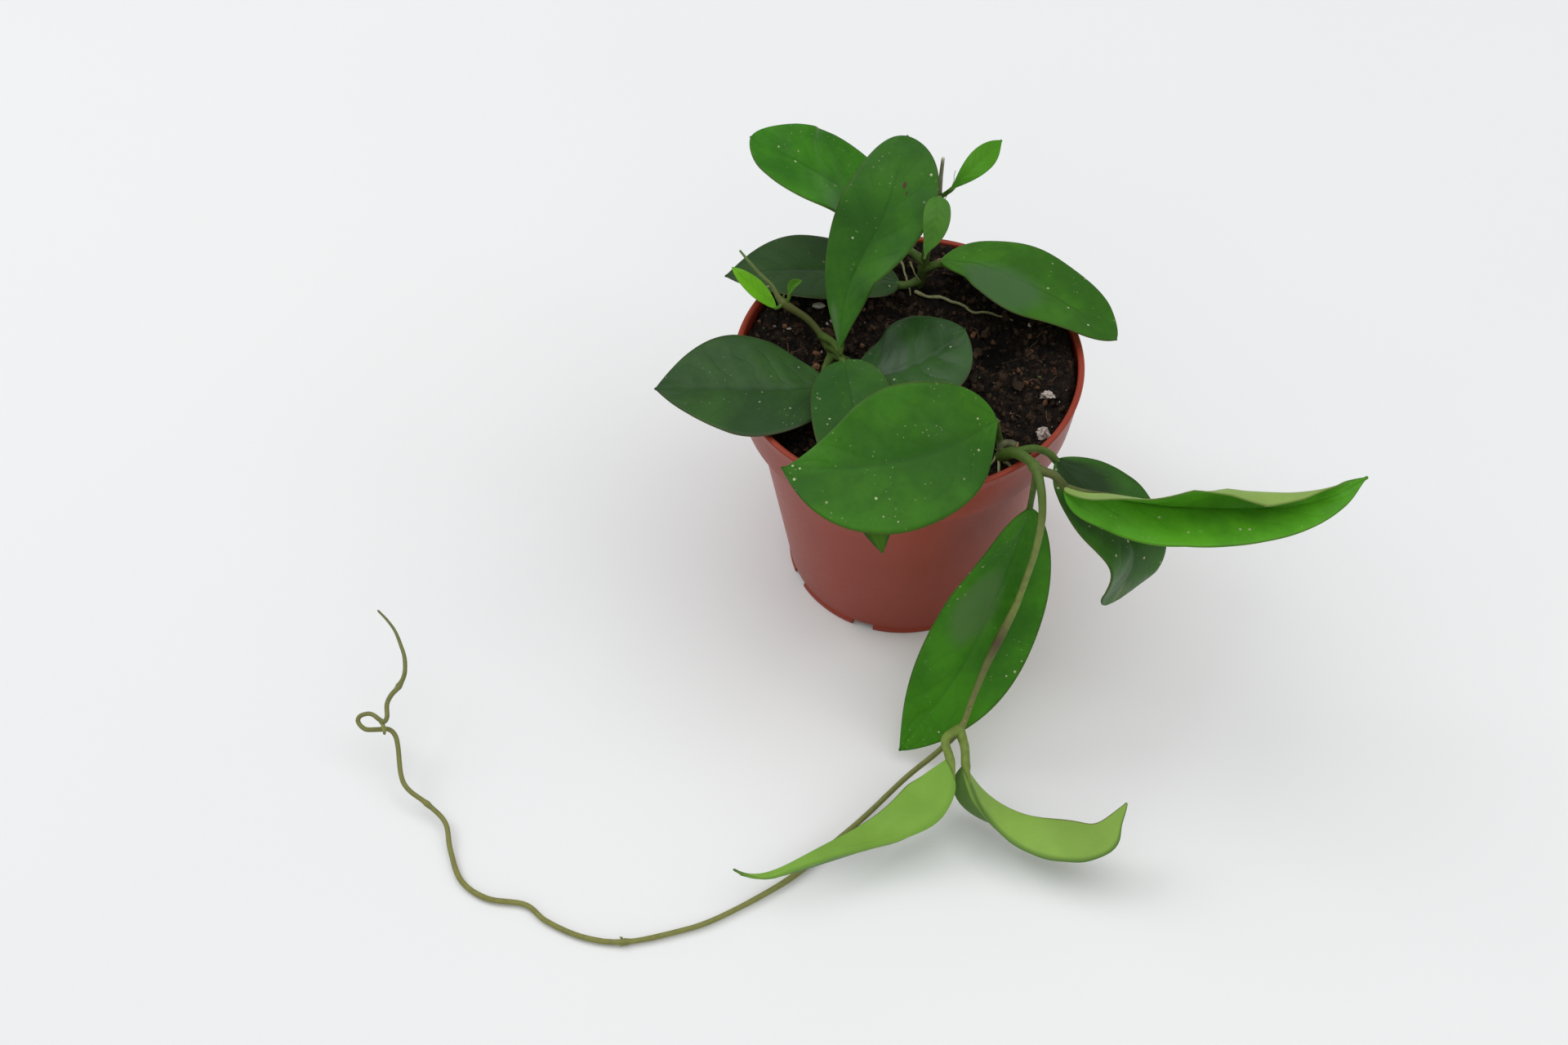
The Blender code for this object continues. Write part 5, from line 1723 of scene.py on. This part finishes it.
@dataclass
class Roots:
    """Thin roots: one that lies on the mix, short ones at the stems' feet, and a dry hair."""
    soil: Soil
    radius: float = 0.56
    hair_radius: float = 0.14
    crook: Point = (0.5, 0.5, 0.2)

    def strand(self, shape: Shape, points: Sequence[tuple], radius: float, seed: float) -> None:
        """Add one root, a little crooked, whose points with no height lie on the mix.

        Args:
            shape: what it is added to.
            points: its route; a height of None means on the mix.
            radius: its radius at the start.
            seed: where its crookedness starts from.
        """
        path = smooth_path([(x, y, self.soil.height(x, y) + radius + 0.5 if z is None else z)
                            for x, y, z in points])
        shares = np.linspace(0, 1, len(path))
        bend = np.array([[noise.noise(Vector((s * len(path) * 0.16, seed, k))) for k in range(3)]
                         for s in shares])
        path = path + bend * self.crook * np.minimum(1, shares * 5)[:, None]
        radii = radius * (1 - 0.45 * shares) * (1 + 0.3 * bend[:, 0])
        tube(shape, path, radii, 8)

    def build(self) -> None:
        """Make the long root in place of its node, the short ones beside it, and the hair."""
        long_root, short, hair = Shape(), Shape(), Shape()
        self.strand(long_root, [(x, y, None) for x, y in ROOT_ROUTE], self.radius, 1.0)
        long_root.build("dressed_root", ROOT, "root", ("root_on_soil",))
        for n, (radius, points) in enumerate(SHORT_ROOTS):
            self.strand(short, points, radius, 3.0 + n)
        short.build("short_roots", ROOT, "root")
        self.strand(hair, HAIR, self.hair_radius, 20.0)
        hair.build("root_hair", FIBRE, "root")


@dataclass(frozen=True)
class Studio:
    """The floor, the soft lights and the camera at the photograph's angle.

    A lamp is its name, place, size, power and colour. Lamps, their aim and the floor are in
    metres.
    """
    focal: float = 41.25
    sensor: float = 36.0
    pitch: float = 52.24
    roll: float = -2.18
    eye: Point = (-39.0, -367.0, 487.2)
    nearest: float = 0.01
    farthest: float = 50.0
    floor_half: float = 6.0
    aim: Point = (0.0, 0.0, 0.05)
    lamps: tuple = (
        ("left_window", (-1.4, 0.7, 1.6), 1.1, 13.0, (0.98, 0.99, 1.0)),
        ("right_window", (1.5, -0.4, 1.6), 1.4, 7.5, (1.0, 0.99, 0.98)),
        ("ceiling", (0.1, 0.1, 2.0), 2.0, 15.0, (1.0, 1.0, 1.0)),
        ("front_fill", (-0.2, -1.8, 1.2), 2.0, 5.5, (1.0, 1.0, 1.0)),
    )
    sky: Colour = (0.98, 0.99, 1.0)
    sky_strength: float = 0.43

    def build(self) -> None:
        """Make the stage."""
        half = self.floor_half
        mesh = bpy.data.meshes.new("floor")
        corners = [(-half, -half, 0), (half, -half, 0), (half, half, 0), (-half, half, 0)]
        mesh.from_pydata(corners, [], [(0, 1, 2, 3)])
        mesh.materials.append(FloorFinish().material())
        floor = add_object("floor", mesh)
        for name, place, size, power, colour in self.lamps:
            data = bpy.data.lights.new(name, "AREA")
            data.shape = "SQUARE"
            data.size, data.energy, data.color = size, power, colour
            lamp = add_object(name, data)
            lamp.location = place
            way = Vector(self.aim) - Vector(place)
            lamp.rotation_euler = way.to_track_quat("-Z", "Y").to_euler()
        world = bpy.data.worlds.new("room")
        world.use_nodes = True
        back = world.node_tree.nodes["Background"]
        back.inputs["Color"].default_value = (*self.sky, 1.0)
        back.inputs["Strength"].default_value = self.sky_strength
        bpy.context.scene.world = world
        self.camera()

    def camera(self) -> None:
        """Stand the camera where the photograph was taken from."""
        data = bpy.data.cameras.new("camera")
        data.lens = self.focal
        data.sensor_width = self.sensor
        data.sensor_fit = "HORIZONTAL"
        data.clip_start, data.clip_end = self.nearest, self.farthest
        camera = add_object("camera", data)
        pitch, roll = math.radians(self.pitch), math.radians(self.roll)
        ahead = Vector((0, math.cos(pitch), -math.sin(pitch)))
        level_up = Vector((0, math.sin(pitch), math.cos(pitch)))
        level_right = Vector((1, 0, 0))
        right = math.cos(roll) * level_right + math.sin(roll) * level_up
        up = -math.sin(roll) * level_right + math.cos(roll) * level_up
        turn = Matrix((right, up, -ahead)).transposed().to_4x4()
        camera.matrix_world = Matrix.Translation(Vector(self.eye) * MM) @ turn
        bpy.context.scene.camera = camera


STEMS = {
    "middle": Stem("stem_middle",
                   ((-21.5, 3.5, 74), (-22, 4.5, 84), (-24, 9, 89), (-29, 14, 94.5), (-37, 16, 101),
                    (-40, 19, 105), (-44, 21, 109), (-49, 24, 115)),
                   (1.3, 1.3, 1.25, 1.15, 1.1, 1.1, 1.25, 0.75, 0.62, 0.5, 0.35)),
    "back": Stem("stem_back",
                 ((6, 36.5, 74), (6, 36, 84), (7, 35, 92), (8, 33.5, 106), (10, 32, 126),
                  (11, 33, 140)),
                 (1.5, 1.5, 1.6, 1.5, 1.3, 1.1, 1.0, 0.9, 1.1, 0.62, 0.5)),
    "front": Stem("stem_front",
                  ((23.5, -33, 74), (23.6, -33.9, 80), (24.2, -35.6, 86), (25.4, -38.3, 90.8),
                   (27.2, -40.5, 94), (29.8, -44.5, 96.3), (32, -48.9, 97), (32.8, -53.5, 96),
                   (33.2, -57.5, 93), (33.3, -60, 87),
                   (32.5, -61.5, 76), (31, -62.5, 66), (28, -66, 55), (24, -70, 46),
                   (19.5, -75, 37), (15.5, -81, 29), (11.5, -87.5, 22), (5, -89.5, 12.5),
                   (-5, -95, 7), (-18, -105.5, 3), (-30.5, -115.5, 1.5), (-43, -125.5, 1.5),
                   (-62.5, -136, 1.5), (-75, -140, 1.5), (-90, -142.5, 1.5), (-102, -140.5, 1.5),
                   (-113, -135, 1.5), (-119.5, -129.5, 1.5), (-131, -127, 1.5),
                   (-139, -121, 1.5), (-143, -111, 2), (-145, -102.5, 3.5), (-150.5, -97, 5.5),
                   (-156.5, -92.5, 7), (-159, -88, 8), (-160.2, -79.8, 11), (-161.2, -76.3, 12.2),
                   (-163.1, -74.8, 13.5), (-166.4, -75.2, 14.3), (-170, -75.3, 15),
                   (-172.2, -73.2, 16), (-171.5, -71.8, 17), (-169, -71.4, 17.6),
                   (-167, -72.4, 18.1), (-164.9, -74.4, 18.6), (-163.2, -75.6, 19.4),
                   (-162.3, -74.5, 20.3), (-162.6, -70.5, 21), (-161.5, -67.6, 21.6),
                   (-159.4, -64.8, 22), (-158, -60.6, 22.3), (-158.3, -55.3, 23),
                   (-159.7, -51, 24), (-161.8, -46.2, 25), (-164.5, -42.5, 26),
                   (-167.5, -39.4, 27)),
                  (1.7, 1.9, 1.35, 1.1, 1.0, 1.0, 1.4, 1.0, 0.9, 0.85, 0.85, 0.85, 1.0, 0.85, 0.8,
                   0.8, 0.8, 0.8, 0.8, 0.85, 0.8, 0.75, 0.75, 0.75, 0.7, 0.8, 0.6, 0.35),
                  ((1.2, ((25.2, -37.6, 89.5), (24.2, -36.2, 91.6), (25.8, -35.9, 92.8),
                          (28.4, -37.2, 93))),
                   (0.75, ((-164.6, -74.6, 18.7), (-163.6, -76.6, 18.6), (-162.9, -79.4, 18.4))))),
}

# The plastic's second colour is the painted highlight on the lip
PLASTIC = PlasticFinish("red_plastic", (0.26, 0.036, 0.017), (0.62, 0.46, 0.43))
MIX = SoilFinish("potting_mix", (0.0028, 0.002, 0.0014), (0.04, 0.024, 0.014))
CRUMB = GrainFinish("bark_crumbs", (0.06, 0.035, 0.019), (0.0035, 0.0025, 0.002), 0.9)
RED_CRUMB = GrainFinish("red_crumbs", (0.19, 0.09, 0.045), (0.02, 0.01, 0.006), 0.6)
WHITE = GrainFinish("perlite_white", (0.5, 0.44, 0.39), (0.1, 0.06, 0.048), 0.9)
PILL = GrainFinish("seed_case_pale", (0.5, 0.5, 0.4), (0.26, 0.24, 0.16), 0.4, 0.6)
STONE = GrainFinish("tan_pebble", (0.26, 0.14, 0.065), (0.08, 0.04, 0.02), 0.5)
CHIP = GrainFinish("dark_chip", (0.025, 0.018, 0.013), (0.01, 0.007, 0.005), 0.6)
MOSS = GrainFinish("moss_specks", (0.11, 0.14, 0.04), (0.025, 0.03, 0.01), 0.6)
ROOT = GrainFinish("pale_root", (0.4, 0.41, 0.21), (0.15, 0.14, 0.05), 0.5, 0.6)
FIBRE = GrainFinish("dry_fibre", (0.16, 0.1, 0.055), (0.04, 0.024, 0.014), 0.5, 0.7)
CUT_WOOD = GrainFinish("cut_wood", (0.5, 0.26, 0.11), (0.25, 0.14, 0.06), 0.4, 0.7)

# Places where the mix is kept nearly flat under the grains: x, y and size across
FLAT_SPOTS = ((40.3, -15.1, 4.6), (37.5, -27.6, 3.9), (-25.8, 24.9, 4.2), (-27.6, 1.9, 2.4),
              (16.7, 36.9, 5.5))
GRAINS = (
    Grain("perlite_right", "perlite", WHITE, 1.3, 0.4, 0.6, 0.7),
    Grain("perlite_front", "perlite", WHITE, 2.3, 0.45, 0.6, 0.7),
    Grain("seed_case", "seed_case", PILL, 3.3, 0.08, 0.0),
    Grain("pebble", "pebble", STONE, 4.3, 0.2, 0.2),
    Grain("bark_chip", "bark_chip", CHIP, 5.3, 0.25, 0.4),
)
ROOT_ROUTE = ((4.5, 30.9), (8.6, 30.7), (12.1, 29.4), (15.9, 27.0), (19.1, 25.0), (21.4, 22.5),
              (24.3, 21.0), (28.7, 19.7), (33.5, 17.7))
SHORT_ROOTS = (
    (0.4, ((0, 39, 95), (1.2, 36.4, 93.4), (2.1, 32.5, 91), (3.0, 29.8, None))),
    (0.34, ((3.2, 36.6, 95.5), (4.4, 34.7, 93), (5.4, 33.4, 91.7), (5.9, 33, 91))),
    (0.7, ((23.4, -36.1, 88.6), (24.4, -37.9, 88), (26.2, -39.5, 87.4), (28, -41.5, None))),
    (0.4, ((23.2, -36, 88), (21.4, -37.6, None), (18.9, -39.6, None), (16.5, -40.2, None))),
    (0.45, ((23.6, -37.4, 87.4), (22.9, -42.3, None), (20.6, -44.5, None), (17.5, -45.6, None))),
    (0.3, ((20, -42.5, None), (17.5, -42, None), (15, -42.5, None))),
)
HAIR = ((10, 34, 118), (12.5, 38, 119), (15, 39.5, 123), (16, 41, 128))
# Places where no crumb is scattered: the roots and the pit
KEPT_CLEAR = ROOT_ROUTE + ((27, 6), (30, 8), (28, 10)) + tuple(
    point[:2] for _, points in SHORT_ROOTS for point in points)
# What is scattered: name, finish, slot, count, sizes, seed, flatness and roughness
SCATTERED = (
    ("soil_crumbs", CRUMB, "soil", 1500, (0.3, 2.1), 3),
    ("soil_red_crumbs", RED_CRUMB, "bark_chip", 200, (0.3, 1.5), 4),
    ("soil_perlite", WHITE, "perlite", 75, (0.25, 0.9), 5, 0.8, 0.3),
    ("soil_moss", MOSS, "soil", 110, (0.25, 0.8), 6),
)


def main() -> None:
    """Build the sub-assemblies in order; each piece is logged as it is made."""
    logging.basicConfig(level=logging.INFO, format="%(name)s %(message)s")
    bpy.context.scene.view_settings.view_transform = "Standard"
    Studio().build()
    pot = Pot()
    pot.build()
    soil = Soil(pot)
    soil.build()
    for grain in GRAINS:
        grain.build()
    for kind in SCATTERED:
        soil.scatter(*kind)
    soil.fibres()
    Roots(soil).build()
    for stem in STEMS.values():
        stem.build()
    for leaf in LEAVES:
        leaf.build()


if __name__ == "__main__":
    main()
